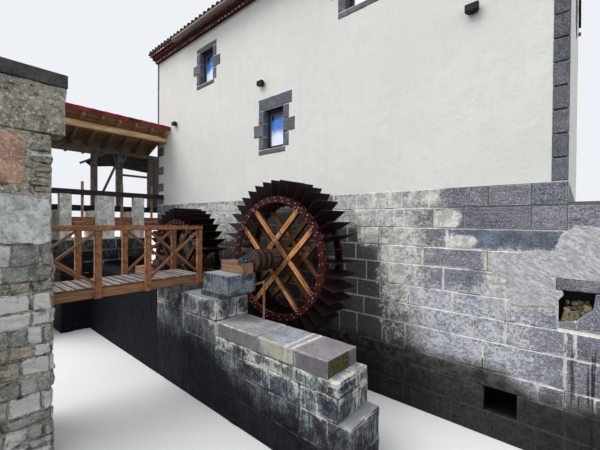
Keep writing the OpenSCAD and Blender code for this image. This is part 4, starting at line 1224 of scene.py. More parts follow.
class MILL_OT_openings(Operator):
    """Finishes the windows and the back door"""

    bl_idname = "mill.openings"
    bl_label = "Windows and door"

    def execute(self, context):
        s = settings("iron")
        dress_node("window_glass", "window_panes", window_glass(), "glass", 0.001, level=True)
        paint = painted("frame_paint", s.frame, 0.45, 0.2)
        dress_node("window_frames", "window_casements", paint, "dark_paint", 0.005)
        seals = Blocks(25)
        seal, half_depth = 0.009, 0.0295
        for low, high in solids("window_glass"):
            thin = 1 if high.y - low.y < high.x - low.x else 0
            wide = 1 - thin
            depth, side = Vector((0, 0, 0)), Vector((0, 0, 0))
            depth[thin] = half_depth - (high[thin] - low[thin]) / 2
            side[wide] = high[wide] - low[wide] - seal
            rise = Vector((0, 0, high.z - low.z - seal))
            for shift in (side, rise):
                seals.box(low - depth, high + depth - shift)
                seals.box(low - depth + shift, high + depth)
        seals.finish("pane_seals", painted("seal_grey", shade(s.zinc, 0.72), 0.6, 0.0), slot="dark_paint")
        boards = Blocks(23)
        row_of_boards(boards, *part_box("back_door"), 7, 0)
        boards.bevel(0.004, 1)
        oak = timber("door_timber", settings("timber").door, 0.3, 0.2)
        boards.finish("door_boards", oak, slot="oak_door", replaces=("back_door",))
        return {"FINISHED"}


class MILL_OT_lamps(Operator):
    """Makes the box lamps on the front wall"""

    bl_idname = "mill.lamps"
    bl_label = "Wall lamps"

    def execute(self, context):
        s = settings("iron")
        dress_node("wall_lamps", "lamp_boxes", painted("lamp_paint", s.black, 0.4, 0.3), "dark_paint", 0.012)
        return {"FINISHED"}


def arch(u, z, outer, inner=0.0):
    """The outline of a half disc, or of a half ring with an inner radius."""
    turns = [math.pi * i / 6 for i in range(7)]
    points = [(u + outer * math.cos(a), z + outer * math.sin(a)) for a in turns]
    if inner:
        points += [(u + inner * math.cos(a), z + inner * math.sin(a)) for a in reversed(turns)]
    return points


class MILL_OT_cornices(Operator):
    """Lays the cornices: two rows of hollow tiles stopped with mortar, and a row of brick between them"""

    bl_idname = "mill.cornices"
    bl_label = "Tile cornices"

    def execute(self, context):
        s = settings("roof")
        coat(clay("cornice_base", shade(s.brick, 0.5), 0.0), "cornices")
        low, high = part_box("cornices")
        span = high.x - low.x
        row_h, reach, tile_pitch, brick_pitch = 0.23 / 3, 0.10, 0.155, 0.125
        tiles, plugs = Blocks(31), Blocks(32)
        radius = row_h - 0.012
        for wall_y, out in ((BASE_LOW.y, -1), (BACK_HIGH.y, 1)):
            face = Side((low.x, wall_y, low.z), (1, 0, 0), (0, out, 0))
            for row, pitch in enumerate((tile_pitch, brick_pitch, tile_pitch)):
                count = int(span / pitch)
                front = (row + 1) * reach
                z = row * row_h + 0.004
                for i in range(count):
                    u = (i + 0.5) * span / count
                    if pitch == brick_pitch:
                        half = pitch * 0.42
                        tiles.add(face.box(u - half, u + half, row_h + 0.010, 2 * row_h - 0.008,
                                           front + 0.010, -front + 0.06))
                    else:
                        tiles.patch(face, arch(u, z, radius, radius - 0.014), front + 0.012, -front + 0.05)
                        plugs.patch(face, arch(u, z, radius - 0.016), front + 0.002, -front + 0.05)
            for row in (1, 2):
                z, front = row * row_h, row * reach
                plugs.add(face.box(0, span, z - 0.005, z + 0.005, front + 0.004, -front + 0.05))
        tiles.finish("cornice_tiles", clay("cornice_clay", s.brick, 0.2), slot="brick")
        plugs.finish("cornice_mortar", clay("cornice_mortar", s.bedding, 0.0), slot="brick")
        return {"FINISHED"}


def tile_shape(radius_low, radius_high, size, thick, segments, hollow_up):
    """One curved tile along +Y, its wide end first: an arc spun from a point, drawn out and thickened."""
    shape = bmesh.new()
    point = shape.verts.new((radius_low, 0, 0))
    bmesh.ops.spin(shape, geom=[point], cent=(0, 0, 0), axis=(0, 1, 0),
                   angle=math.pi if hollow_up else -math.pi, steps=segments, use_merge=False)
    drawn = bmesh.ops.extrude_edge_only(shape, edges=shape.edges[:])["geom"]
    far = [g for g in drawn if isinstance(g, bmesh.types.BMVert)]
    bmesh.ops.scale(shape, verts=far, vec=(radius_high / radius_low, 1, radius_high / radius_low))
    bmesh.ops.translate(shape, verts=far, vec=(0, size, 0))
    bmesh.ops.recalc_face_normals(shape, faces=shape.faces)
    if thick:
        bmesh.ops.solidify(shape, geom=shape.faces[:], thickness=thick)
    mesh = bpy.data.meshes.new("tile")
    shape.to_mesh(mesh)
    shape.free()
    mesh.attributes.new("tone", "FLOAT", "POINT")
    return mesh


def add_tile(made, mesh, matrix, tone):
    """Adds a copy of one tile to a bmesh."""
    mesh.attributes["tone"].data.foreach_set("value", [tone] * len(mesh.vertices))
    copy = mesh.copy()
    copy.transform(matrix)
    made.from_mesh(copy)
    bpy.data.meshes.remove(copy)


# How far a tile runs in under the next one up a slope, and along a ridge
TILE_LAP, CAP_LAP = 0.06, 0.05


def lay_tiles(name, material, foot, slope, ends, run, spacing, seed, flat=1.0):
    """Pan and cover tiles on one slope. foot is the middle of the slope's lower edge, where the crests of the
    covers stand, slope points uphill, and ends are the slope's two ends measured across from foot. flat
    presses the half-round tiles down."""
    draw = random.Random(seed)
    across = slope.cross(UP).normalized()
    out = across.cross(slope).normalized()
    turn = Matrix((across, slope, out)).transposed().to_4x4()
    radius = spacing * 0.37
    rows = math.ceil(run / settings("roof").exposed)
    step = run / rows
    cover = tile_shape(radius, radius * 0.8, step + TILE_LAP, 0.012, 6, False)
    pan = tile_shape(radius, radius * 0.85, step + TILE_LAP, 0, 4, True)
    cover.transform(Matrix.Diagonal((1, 1, flat, 1)))
    pan.transform(Matrix.Diagonal((1, 1, flat * 0.45, 1)))
    columns = max(1, round((ends[1] - ends[0] - spacing) / spacing))
    pitch = (ends[1] - ends[0] - 2 * radius) / columns
    made = bmesh.new()
    for column in range(columns + 1):
        for row in range(rows):
            for mesh, shift, height in ((pan, 0.5, -radius * flat * 0.75), (cover, 0.0, -radius * flat)):
                if shift and column == columns:
                    continue
                u = ends[0] + radius + (column + shift) * pitch + draw.uniform(-0.004, 0.004)
                along = row * step + draw.uniform(0, 0.012)
                height += draw.uniform(-0.004, 0) - 0.014
                length = 1 if row < rows - 1 else (run - along) / (step + TILE_LAP)
                if shift and row == 0:
                    along += 0.01
                tilt = Matrix.Rotation(math.radians(-1.2), 4, "X") @ Matrix.Diagonal((1, length, 1, 1))
                place = Matrix.Translation(foot + across * u + slope * along + out * height)
                add_tile(made, mesh, place @ turn @ tilt, draw.random())
    for mesh in (cover, pan):
        bpy.data.meshes.remove(mesh)
    return put(made, name, material, "mill")


def cap_tiles(name, material, start, end, radius, seed):
    """A line of overlapping half-round tiles from start to end, their crests at that line."""
    draw = random.Random(seed)
    start, end = Vector(start), Vector(end)
    along = (end - start).normalized()
    across = along.cross(UP).normalized()
    turn = Matrix((across, along, across.cross(along))).transposed().to_4x4()
    count = round((end - start).length / 0.36)
    step = (end - start).length / count
    tile = tile_shape(radius, radius * 0.86, step + CAP_LAP, 0.014, 8, False)
    made = bmesh.new()
    for i in range(count):
        size = 1 if i < count - 1 else step / (step + CAP_LAP)
        place = Matrix.Translation(start + along * step * i - UP * (radius + 0.002))
        add_tile(made, tile, place @ turn @ Matrix.Diagonal((1, size, 1, 1)), draw.random())
    bpy.data.meshes.remove(tile)
    return put(made, name, material, "mill")


# Slope of the two roofs in degrees, the house roof's whole thickness and that of its tiles, upright
HOUSE_PITCH, CANOPY_PITCH = 20, 22
ROOF_THICK, TILES_THICK = 0.17, 0.105


class MILL_OT_roof(Operator):
    """Boards and tiles the house roof, caps its ridge and finishes the gutters"""

    bl_idname = "mill.roof"
    bl_label = "House roof"

    def execute(self, context):
        s = settings("roof")
        tile = clay("house_clay", s.tile, 0.35)
        rise = math.tan(math.radians(HOUSE_PITCH))
        deck = Blocks(43)
        low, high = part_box("roof_front_slope")
        back_low, back_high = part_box("roof_back_slope")
        side = Side((low.x, 0, 0), (0, 1, 0), (1, 0, 0))
        thick = ROOF_THICK - TILES_THICK
        for y0, y1, name, seed in ((low.y, high.y, "front", 41), (back_high.y, back_low.y, "back", 42)):
            way = 1 if y1 > y0 else -1
            slope = Vector((0, way, rise)).normalized()
            run = abs(y1 - y0) / abs(slope.y)
            foot = Vector((0, y0, low.z))
            lay_tiles(name + "_roof_tiles", tile, Vector((0, y0, low.z + ROOF_THICK)), slope,
                      (low.x, high.x), run - 0.04, s.spacing, seed)
            count = round(run / 0.165)
            for i in range(count):
                a, b = (foot + slope * (run * (i + share) / count) for share in (0, 1))
                end = b.y - way * 0.004
                deck.patch(side, [(a.y, a.z), (end, b.z - 0.0015), (end, b.z + thick), (a.y, a.z + thick)],
                           high.x - low.x, 0.0)
        dark = timber("eave_timber", shade(s.brick, 0.62), 0.1, 0.3)
        deck.finish("roof_boards", dark, slot="roof_tile", replaces=("roof_front_slope", "roof_back_slope"))
        r_low, r_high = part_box("ridge_tiles")
        middle = (r_low.y + r_high.y) / 2
        cap_tiles("ridge_caps", tile, (r_low.x, middle, r_high.z), (r_high.x, middle, r_high.z), 0.13, 44)
        bed = Blocks(48)
        bed.box((r_low.x + 0.02, middle - 0.09, r_low.z), (r_high.x - 0.02, middle + 0.09, r_high.z - 0.045))
        bed.finish("ridge_bedding", mortar("ridge_mortar", 0.7, False), slot="roof_tile",
                   replaces=("ridge_tiles",))
        zinc = settings("iron").gutter
        # The gutter's body is a darker copy of the zinc and its bead a lighter one: painted shade on the body
        # and a painted highlight on the rim.
        coat(painted("gutter_zinc", shade(zinc, 0.62), 0.5, 0.2), "gutters")
        beads = Blocks(45)
        for g_low, g_high in solids("gutters"):
            if g_high.x - g_low.x < 1:
                continue
            y0, y1 = (g_high.y - 0.010, g_high.y) if g_low.y > 0 else (g_low.y, g_low.y + 0.010)
            rim = g_low.z + 0.08
            beads.box((g_low.x, y0, rim - 0.012), (g_high.x, y1, rim + 0.003))
        beads.bevel(0.004, 2)
        beads.finish("gutter_beads", painted("gutter_bead", shade(zinc, 1.35), 0.4, 0.2), slot="zinc")
        return {"FINISHED"}


class MILL_OT_floors(Operator):
    """Boards the two floors"""

    bl_idname = "mill.floors"
    bl_label = "Floors"

    def execute(self, context):
        t = settings("timber")
        for node, seed in (("ground_floor", 51), ("upper_floor", 52)):
            low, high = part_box(node)
            boards = Blocks(seed)
            row_of_boards(boards, low, high, round((high.y - low.y) / 0.2), 1)
            boards.bevel(0.003, 1)
            boards.finish(node + "_boards", timber("floor_timber", t.floor, 0.2, 0.2), slot="floor_board",
                          replaces=(node,))
        return {"FINISHED"}


# The race wall's stepped end: how far each step reaches along X and its height, and a step's own length
RACE_STEPS = ((3.745, 1.33), (3.895, 1.33), (4.075, 0.84))
STEP_LONG = 0.33
RACE_BEDS = [0, 0.45, 0.84, 1.14, 1.33]
# The pier's stones: x0, x1, their beds, their mean length and the faces that carry them
PIER_FACES = ((0.30, 1.365, (0, 0.45, 0.82, 1.2, 1.57, 1.93), 0.55, "front back"),
              (0.30, 1.365, (1.57, 1.93), 0.4, "right"),
              (-0.80, 0.30, (0, 0.45, 0.82, 1.2, 1.6, 2.04), 0.6, "front back"))
# The pier's cap, its neck and its ledge, as lowest and highest corners
PIER_CAPS = (((0.92, -2.75, 2.04), (1.665, -2.16, 2.37)), ((0.76, -2.70, 1.93), (1.33, -2.18, 2.04)),
             ((0.30, -2.785, 1.90), (1.365, -2.075, 1.935)))


class MILL_OT_race(Operator):
    """Builds up the race walls, the coping and the bearing pier"""

    bl_idname = "mill.race"
    bl_label = "Race walls and pier"

    def execute(self, context):
        s = settings("stone")
        coat(race_stone("race_core", shade(s.race, 0.9), 0.90, 0.16, 1.0, 0.0, False), "race_wall")
        coat(race_stone("pier_core", s.race, 1.05, 0.0, 0.6, 0.0, False), "bearing_pier")
        # The upstream wall is set very dark: partly wet stone, partly painted shade, as it stands in deep
        # shade under the bridge.
        coat(race_stone("upstream_core", shade(s.race, 0.3), 2.2, 0.0, 0.1, 0.0, False), "upstream_race_wall")
        dress_node("race_coping", "coping_stones", coping_stone(), "race_stone", 0.022, 0.012, 0.12, 61)
        low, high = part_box("race_wall")
        skin = Blocks(62)
        for i, (x1, top) in enumerate(RACE_STEPS):
            x0 = x1 - STEP_LONG if i else low.x
            beds = [bed for bed in RACE_BEDS if bed <= top]
            faces = "front back right" if i else "front back"
            skin_box(skin, (x0, low.y, 0), (x1, high.y, top), beds, 0.66, faces)
            if i:
                skin.box((x1 - 0.45, low.y + 0.01, top - 0.1), (x1 - 0.01, high.y - 0.01, top + 0.006))
        skin.loosen(0.022)
        stone = race_stone("race_wall_stone", s.race, 0.90, 0.16, 1.0, 0.12)
        stone_skin(skin, "race_wall_stones", stone, "race_stone", cell=0.10, rough=0.014, worn=0.012)
        pier = Blocks(63)
        for x0, x1, beds, mean, faces in PIER_FACES:
            skin_box(pier, (x0, low.y, 0), (x1, high.y, 0), beds, mean, faces)
        stone = race_stone("pier_stone", shade(s.race, 1.2), 1.15, 0.0, 0.9, 0.06)
        stone_skin(pier, "pier_stones", stone, "race_stone", cell=0.12, rough=0.012, worn=0.012)
        caps = Blocks(64)
        for corners in PIER_CAPS:
            caps.box(*corners)
        stone = race_stone("cap_stone", shade(s.race, 1.3), 0.7, 0.0, 0.35, 0.03)
        stone_skin(caps, "pier_caps", stone, "race_stone", cell=0.10, rough=0.005, worn=0.020)
        low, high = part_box("upstream_race_wall")
        upstream = Blocks(65)
        skin_box(upstream, low, high, even_beds(0, high.z - 0.01, 0.33), 0.75, "front back left")
        # Very dark: partly wet stone, partly painted shade under the bridge.
        stone = race_stone("upstream_stone", shade(s.race, 0.35), 2.2, 0.0, 0.1)
        stone_skin(upstream, "upstream_stones", stone, "race_stone", cell=0.25, rough=0.010)
        return {"FINISHED"}


class MILL_OT_bearings(Operator):
    """Finishes the timber blocks and the bearings"""

    bl_idname = "mill.bearings"
    bl_label = "Bearings"

    def execute(self, context):
        t, i = settings("timber"), settings("iron")
        stock = timber("block_timber", t.block, 0.2, 0.3)
        dress_node("bearing_blocks", "bearing_timbers", stock, "pale_timber", 0.008)
        coat(painted("bearing_paint", i.teal, 0.35, 0.3), "plummer_blocks")
        coat(rusty_iron("wall_bearing_iron", shade(i.shaft, 0.8), 0.5, 0.6), "wall_bearings")
        caps, bolts = bmesh.new(), bmesh.new()
        for low, high in solids("plummer_blocks"):
            middle = (low + high) / 2
            axis = Vector((middle.x, 0, low.z + 0.085))
            bore, rim, thick = 0.046, 0.072, 0.012
            circle = (bore + rim) / 2
            for y, out in ((low.y, -1), (high.y, 1)):
                hoop(caps, axis, bore, rim, y, y + out * thick, 32)
                for turn in range(6):
                    a = math.radians(60 * turn + 30)
                    spot = axis + Vector((circle * math.cos(a), y + out * thick, circle * math.sin(a)))
                    bolt(bolts, spot, (0, out, 0), 0.014, 0.008)
            for x in (low.x + 0.013, high.x - 0.013):
                for y in (low.y + 0.03, high.y - 0.03):
                    bolt(bolts, (x, y, axis.z + 0.02), (0, 0, 1), 0.022, 0.014)
        put(caps, "bearing_caps", painted("bearing_cap", shade(i.teal, 1.3), 0.35, 0.3))
        put(bolts, "bearing_bolts", painted("zinc_bolts", i.zinc, 0.35, 0.6))
        return {"FINISHED"}


# The wheel arms: half their length, how far they pass the shaft's middle, and their section
ARM_HALF, ARM_OFF, ARM_THICK, ARM_WIDE = 1.178, 0.2453, 0.085, 0.110
# Where the arms cross each other, from the shaft's middle
CROSSINGS = ((0.347, 0), (-0.347, 0), (0, 0.347), (0, -0.347))
# Their bolts in the rings, from half way along, and how thick the rings are
ARM_BOLTS, RING_THICK = (1.075, 1.135), 0.012
# The iron flanges: their radii and their depth along the shaft
FLANGES = ((1.093, 1.100, 0.055), (1.214, 1.2225, 0.050))
# The two bolts of each blade: their distance from the shaft's middle and to the side
BLADE_COUNT, BLADE_BOLTS = 40, ((1.125, 0.016), (1.188, -0.016))
# The shaft's near end, its length and the places of its hoops as shares of that
SHAFT_START, SHAFT_LONG, HOOPS = -2.15, 1.7, (0.02, 0.10, 0.18, 0.93)
# A hoop's inner and outer radius, and where it begins and ends from its place
HOOP_RADII, HOOP_ENDS = (0.186, 0.2045), (-0.001, 0.061)


class MILL_OT_wheels(Operator):
    """Rebuilds both waterwheels' arms, adds flanges and hoops and bolts their rings"""

    bl_idname = "mill.wheels"
    bl_label = "Waterwheels"

    def execute(self, context):
        t, s = settings("timber"), settings("iron")
        rust = rusty_iron("ring_rust", s.rust, 0.35, 0.6)
        flange = rusty_iron("flange_rust", s.flange, 0.5, 0.7)
        zinc = painted("zinc_bolts", s.zinc, 0.35, 0.6)
        for wheel in ("wheel1", "wheel2"):
            body = NODES[wheel + "_rings"]["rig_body"]
            low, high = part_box(wheel + "_rings")
            axis = Vector(((low.x + high.x) / 2, 0, (low.z + high.z) / 2))
            coat(rust, wheel + "_rings")
            coat(drum_timber(), wheel + "_shaft")
            dress_node(wheel + "_blades", wheel + "_paddles", blade_iron(), "rusty_iron", 0.002)
            arms, bands, bolts, hoops = Blocks(66), bmesh.new(), bmesh.new(), bmesh.new()
            for face, out in ((low.y, -1), (high.y, 1)):
                inner = face - out * RING_THICK
                for turn, less in ((45, 0.0), (-45, 0.0015)):
                    u = Vector((math.cos(math.radians(turn)), 0, math.sin(math.radians(turn))))
                    n = Vector((-u.z, 0, u.x))
                    y = Vector((0, inner - out * ARM_THICK / 2, 0))
                    for shift in (-ARM_OFF, ARM_OFF):
                        middle = axis + n * shift + y
                        arms.bar(middle - u * ARM_HALF, middle + u * ARM_HALF, ARM_THICK - 2 * less, ARM_WIDE,
                                 Vector((0, 1, 0)))
                        for end in (-1, 1):
                            for along in ARM_BOLTS:
                                spot = axis + n * shift + u * (end * along)
                                bolt(bolts, (spot.x, face, spot.z), (0, out, 0), s.bolt)
                for x, z in CROSSINGS:
                    bolt(bolts, (axis.x + x, inner, axis.z + z), (0, out, 0), 0.044, 0.02)
                for i in range(BLADE_COUNT):
                    a = math.radians(1 + 360 / BLADE_COUNT * i)
                    for r, off in BLADE_BOLTS:
                        x = axis.x + r * math.cos(a) - off * math.sin(a)
                        z = axis.z - r * math.sin(a) - off * math.cos(a)
                        bolt(bolts, (x, face, z), (0, out, 0), 0.024, 0.012)
                for r0, r1, depth in FLANGES:
                    hoop(bands, axis, r0, r1, inner, inner - out * depth, 96)
            for share in HOOPS:
                y = SHAFT_START + share * SHAFT_LONG
                hoop(hoops, axis, *HOOP_RADII, y + HOOP_ENDS[0], y + HOOP_ENDS[1], 48)
            arms.bevel(t.chamfer, 1)
            # The second wheel's arms take a darker copy of the arm timber: painted shade, as that wheel
            # stands in shade.
            stock = arm_timber(wheel + "_arm_timber", shade(t.arm, 1.0 if wheel == "wheel1" else 0.4))
            arms.finish(wheel + "_clasp_arms", stock, body, "oak_arm", (wheel + "_arms",))
            put(hoops, wheel + "_hoops", painted("hoop_iron", s.hoop, 0.4, 0.5), body)
            put(bands, wheel + "_bands", flange, body)
            put(bolts, wheel + "_bolts", zinc, body)
        return {"FINISHED"}


# Where the bank wall, the slab that oversails it and its cap end, as Y and height
BANK_WALL, BANK_SLAB, BANK_CAP = (-4.95, 4.43), (-4.79, 5.09), (-4.77, 5.27)
# Feet of the thin slabs let into the bank wall's end, and the two patches on its face, as Y and Z
THIN_SLABS = (3.66, 3.74, 3.85, 3.92, 4.04, 4.11, 4.2)
PALE_PATCH = [(-6.62, 3.02), (-5.9, 2.96), (-5.4, 3.0), (-4.97, 3.0), (-4.98, 3.55), (-5.5, 3.62),
              (-6.0, 3.56), (-6.62, 3.6)]
RED_PATCH = [(-6.62, 3.76), (-5.28, 3.74), (-5.21, 3.9), (-5.24, 4.3), (-5.36, 4.40), (-6.62, 4.42)]


class MILL_OT_bank_wall(Operator):
    """Builds up the left bank wall and the bridge abutment"""

    bl_idname = "mill.bank_wall"
    bl_label = "Bank wall"

    def execute(self, context):
        s = settings("stone")
        low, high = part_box("left_bank_wall")
        low.x, high.x = low.x + 0.02, high.x - 0.02
        core = Blocks(67)
        core.box(low, (high.x, *BANK_WALL))
        core.box((low.x, low.y, BANK_WALL[1] + 0.01), (high.x, *BANK_SLAB))
        core.bevel(0.02, 2)
        slices(core, 0.12, "YZ")
        core.roughen(0.012, 6)
        core.finish("bank_core", rough_wall("bank_cast", s.bank, 15, 0.8), slot="rubble",
                    replaces=("left_bank_wall",))
        cap = Blocks(68)
        cap.box((low.x - 0.02, low.y, BANK_SLAB[1]), (high.x + 0.02, *BANK_CAP))
        stone_skin(cap, "bank_cap", rough_wall("cap_concrete", s.bank_cap, 30, 0.25), "rubble", rough=0.004)
        face = Side((high.x, 0, 0), (0, 1, 0), (1, 0, 0))
        stones = Blocks(69)
        beds = [0.0]
        while beds[-1] < 2.85:
            beds.append(beds[-1] + stones.draw.uniform(0.09, 0.27))
        beds[-1] = 2.98
        end = BANK_WALL[0]
        skin_box(stones, low, (high.x, end, 0), beds, lambda u, row: (0.22, 0.42, 0.3)[row % 3], relief=0.035)
        stones.loosen(0.034)
        for z in THIN_SLABS:
            y = end - 0.23 + stones.draw.uniform(0, 0.05)
            top = z + stones.draw.uniform(0.05, 0.09)
            stones.add(face.box(y, end, z, top, stones.draw.uniform(0.015, 0.05), 0.03))
        mixed = rubble("bank_rubble", s.rubble, 0.5)
        stone_skin(stones, "bank_rubble", mixed, "rubble", cell=0.09, rough=0.03, worn=0.014)
        pale = Blocks(70)
        pale.patch(face, PALE_PATCH, 0.035, 0.02, 0.05)
        stone_skin(pale, "bank_render", rough_wall("pale_cast", s.bank_pale, 17, 0.5), "rubble", rough=0.02)
        plaster = Blocks(71)
        plaster.patch(face, RED_PATCH, 0.016, 0.02, 0.05)
        cast = rough_wall("red_plaster", s.red_patch, 17, 0.6)
        stone_skin(plaster, "red_plaster", cast, "rubble", rough=0.010)
        for node, name, seed, bare in (("bridge_abutment", "abutment_stones", 72, 0.01),
                                       ("canopy_pier", "canopy_pier_stones", 73, 0.3)):
            coat(rough_wall("rubble_bed", shade(s.rubble, 0.6), 26, 0.5), node)
            low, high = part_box(node)
            skin = Blocks(seed)
            skin_box(skin, low, high, even_beds(0, high.z - bare, 0.2), 0.3)
            stone_skin(skin, name, rubble(name, s.rubble, 0.5), "rubble", cell=0.13, rough=0.012)
        return {"FINISHED"}


# Middles of the railings' posts along Y, and the heights of their feet and of the handrail
RAIL_POSTS = (-5.38, -4.26, -3.47, -2.45)
POST_FOOT, RAIL_FOOT, RAIL_TOP = 2.05, 3.13, 3.20


def railing_bars(bars, x, wide):
    """One railing's posts, handrail and braces, as separate timbers; x is the middle of its posts."""
    for y in RAIL_POSTS:
        bars.box((x - 0.04, y - 0.05, POST_FOOT), (x + 0.04, y + 0.05, RAIL_FOOT))
    bars.box((x - wide / 2, RAIL_POSTS[0] - 0.05, RAIL_FOOT), (x + wide / 2, RAIL_POSTS[-1] + 0.05, RAIL_TOP))
    low, high = POST_FOOT + 0.24, RAIL_FOOT - 0.04
    for bay in (0, 2):
        y0, y1 = RAIL_POSTS[bay] + 0.045, RAIL_POSTS[bay + 1] - 0.045
        for z0, z1, shift in ((low, high, -0.002), (high, low, 0.002)):
            bars.bar((x + shift, y0, z0), (x + shift, y1, z1), 0.045, 0.045)


class MILL_OT_footbridge(Operator):
    """Finishes the footbridge's beams, planks and railings"""

    bl_idname = "mill.footbridge"
    bl_label = "Footbridge"

    def execute(self, context):
        t = settings("timber")
        beam = timber("beam_timber", t.beam, 0.3, 0.2)
        # The planks' wide dark edges are painted shade in the gaps between them.
        plank = timber("plank_timber", t.plank, 0.15, 0.3, 0.0, 0.026)
        dress_node("bridge_beams", "bridge_timbers", beam, "honey_timber", t.chamfer)
        dress_node("bridge_deck", "deck_planks", plank, "weathered_plank", 0.004)
        for name, seed in (("near_railing", 74), ("far_railing", 75)):
            low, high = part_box(name)
            bars = Blocks(seed)
            railing_bars(bars, (low.x + high.x) / 2, high.x - low.x)
            bars.bevel(t.chamfer, 1)
            bars.finish(name + "_timbers", timber("rail_timber", t.rail, 0.45, 0.15), slot="stained_timber",
                        replaces=(name,))
        return {"FINISHED"}


# The sluice's piers and its gates along Y, and the heights of the piers' foot, rear and front parts
SLUICE_PIERS = ((-3.50, -3.22), (-2.53, -2.04), (-1.41, -1.10))
SLUICE_GATES = ((-3.22, -2.53), (-2.04, -1.41), (-1.10, -0.364))
SLUICE_FOOT, REAR_TOP, FRONT_TOP = 2.7, 3.6, 4.07
# Where the piers step down along X
SLUICE_STEP = -5.61


class MILL_OT_sluice(Operator):
    """Finishes the sluice's piers, beams and gates"""

    bl_idname = "mill.sluice"
    bl_label = "Sluice"

    def execute(self, context):
        s, t = settings("stone"), settings("timber")
        coat(mortar("sluice_mortar", 0.8, False), "sluice_piers")
        low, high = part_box("sluice_piers")
        pillars = Blocks(76)
        for y0, y1 in SLUICE_PIERS:
            y0, y1 = y0 - 0.004, y1 + 0.004
            pillars.box((SLUICE_STEP, y0, SLUICE_FOOT), (high.x - 0.096, y1, FRONT_TOP))
            pillars.box((low.x + 0.096, y0, SLUICE_FOOT), (SLUICE_STEP, y1, REAR_TOP))
        cast = rough_wall("pillar_stone", s.pillar, 9, 0.45)
        stone_skin(pillars, "sluice_pillars", cast, "race_stone", rough=0.006)
        skin = Blocks(81)
        skin_box(skin, low, high, even_beds(0, SLUICE_FOOT + 0.01, 0.34), 0.55)
        for y0, y1 in SLUICE_PIERS:
            if y1 < low.y + 0.3 or y0 > high.y - 0.5:
                beds = even_beds(0, SLUICE_FOOT, 0.34)
                skin_box(skin, (low.x + 0.10, y0, 0), (high.x - 0.10, y1, 0), beds, 0.5)
        stone = race_stone("sluice_stone", shade(s.race, 0.6), 2.2, 0.0, 0.4)
        stone_skin(skin, "sluice_stones", stone, "race_stone", cell=0.25, rough=0.010)
        dark = timber("dark_timber", t.dark, 0.3, 0.3)
        dress_node("sluice_beams", "sluice_timbers", dark, "dark_timber", 0.008)
        low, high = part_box("sluice_gates")
        gates, stems = Blocks(77), Blocks(82)
        board, boards = 0.15, 3
        for y0, y1 in SLUICE_GATES:
            middle, top = (y0 + y1) / 2, low.z + board * boards
            row_of_boards(gates, (low.x, y0, low.z), (high.x, y1, top), boards, 2)
            stems.box((low.x, middle - 0.035, top), (high.x, middle + 0.035, high.z))
        gates.bevel(0.005, 1)
        gates.finish("gate_boards", timber("gate_timber", t.rail, 0.2, 0.4), slot="dark_timber",
                     replaces=("sluice_gates",))
        stems.bevel(0.005, 1)
        stems.finish("gate_stems", timber("stem_timber", t.stem, 0.2, 0.3), slot="dark_timber")
        return {"FINISHED"}


# The rear frame along X, its posts along Y, the heights of their feet and of the plate on them, and the
# rail between two of them
REAR_FRAME = (-6.58, -6.43)
REAR_POSTS = ((-2.38, -2.20), (-1.59, -1.39), (-0.475, -0.285), (-0.27, -0.10))
REAR_FOOT, REAR_PLATE, REAR_TIP = 3.795, 5.635, 5.785
REAR_RAIL = ((-6.51, -1.41, 4.90), (-6.44, -0.455, 4.975))
# The rear frame's struts and boarding, as place along Y and height
STRUTS = [((-2.23, 3.755), (-1.54, 5.42)), ((-1.49, 5.10), (-1.71, 5.665)), ((-1.49, 5.10), (-1.26, 5.665)),
          ((-1.86, 5.665), (-2.70, 5.19))]
BOARDING = [(-2.35, 5.125), (-2.54, 5.27), (-1.91, 5.64), (-0.41, 5.64), (-0.41, 5.125), (-1.73, 5.22)]


# The canopy's tiles: the upright thickness of board and tiles, and the distance between cover tiles
CANOPY_THICK, CANOPY_SPACING = 0.085, 0.15


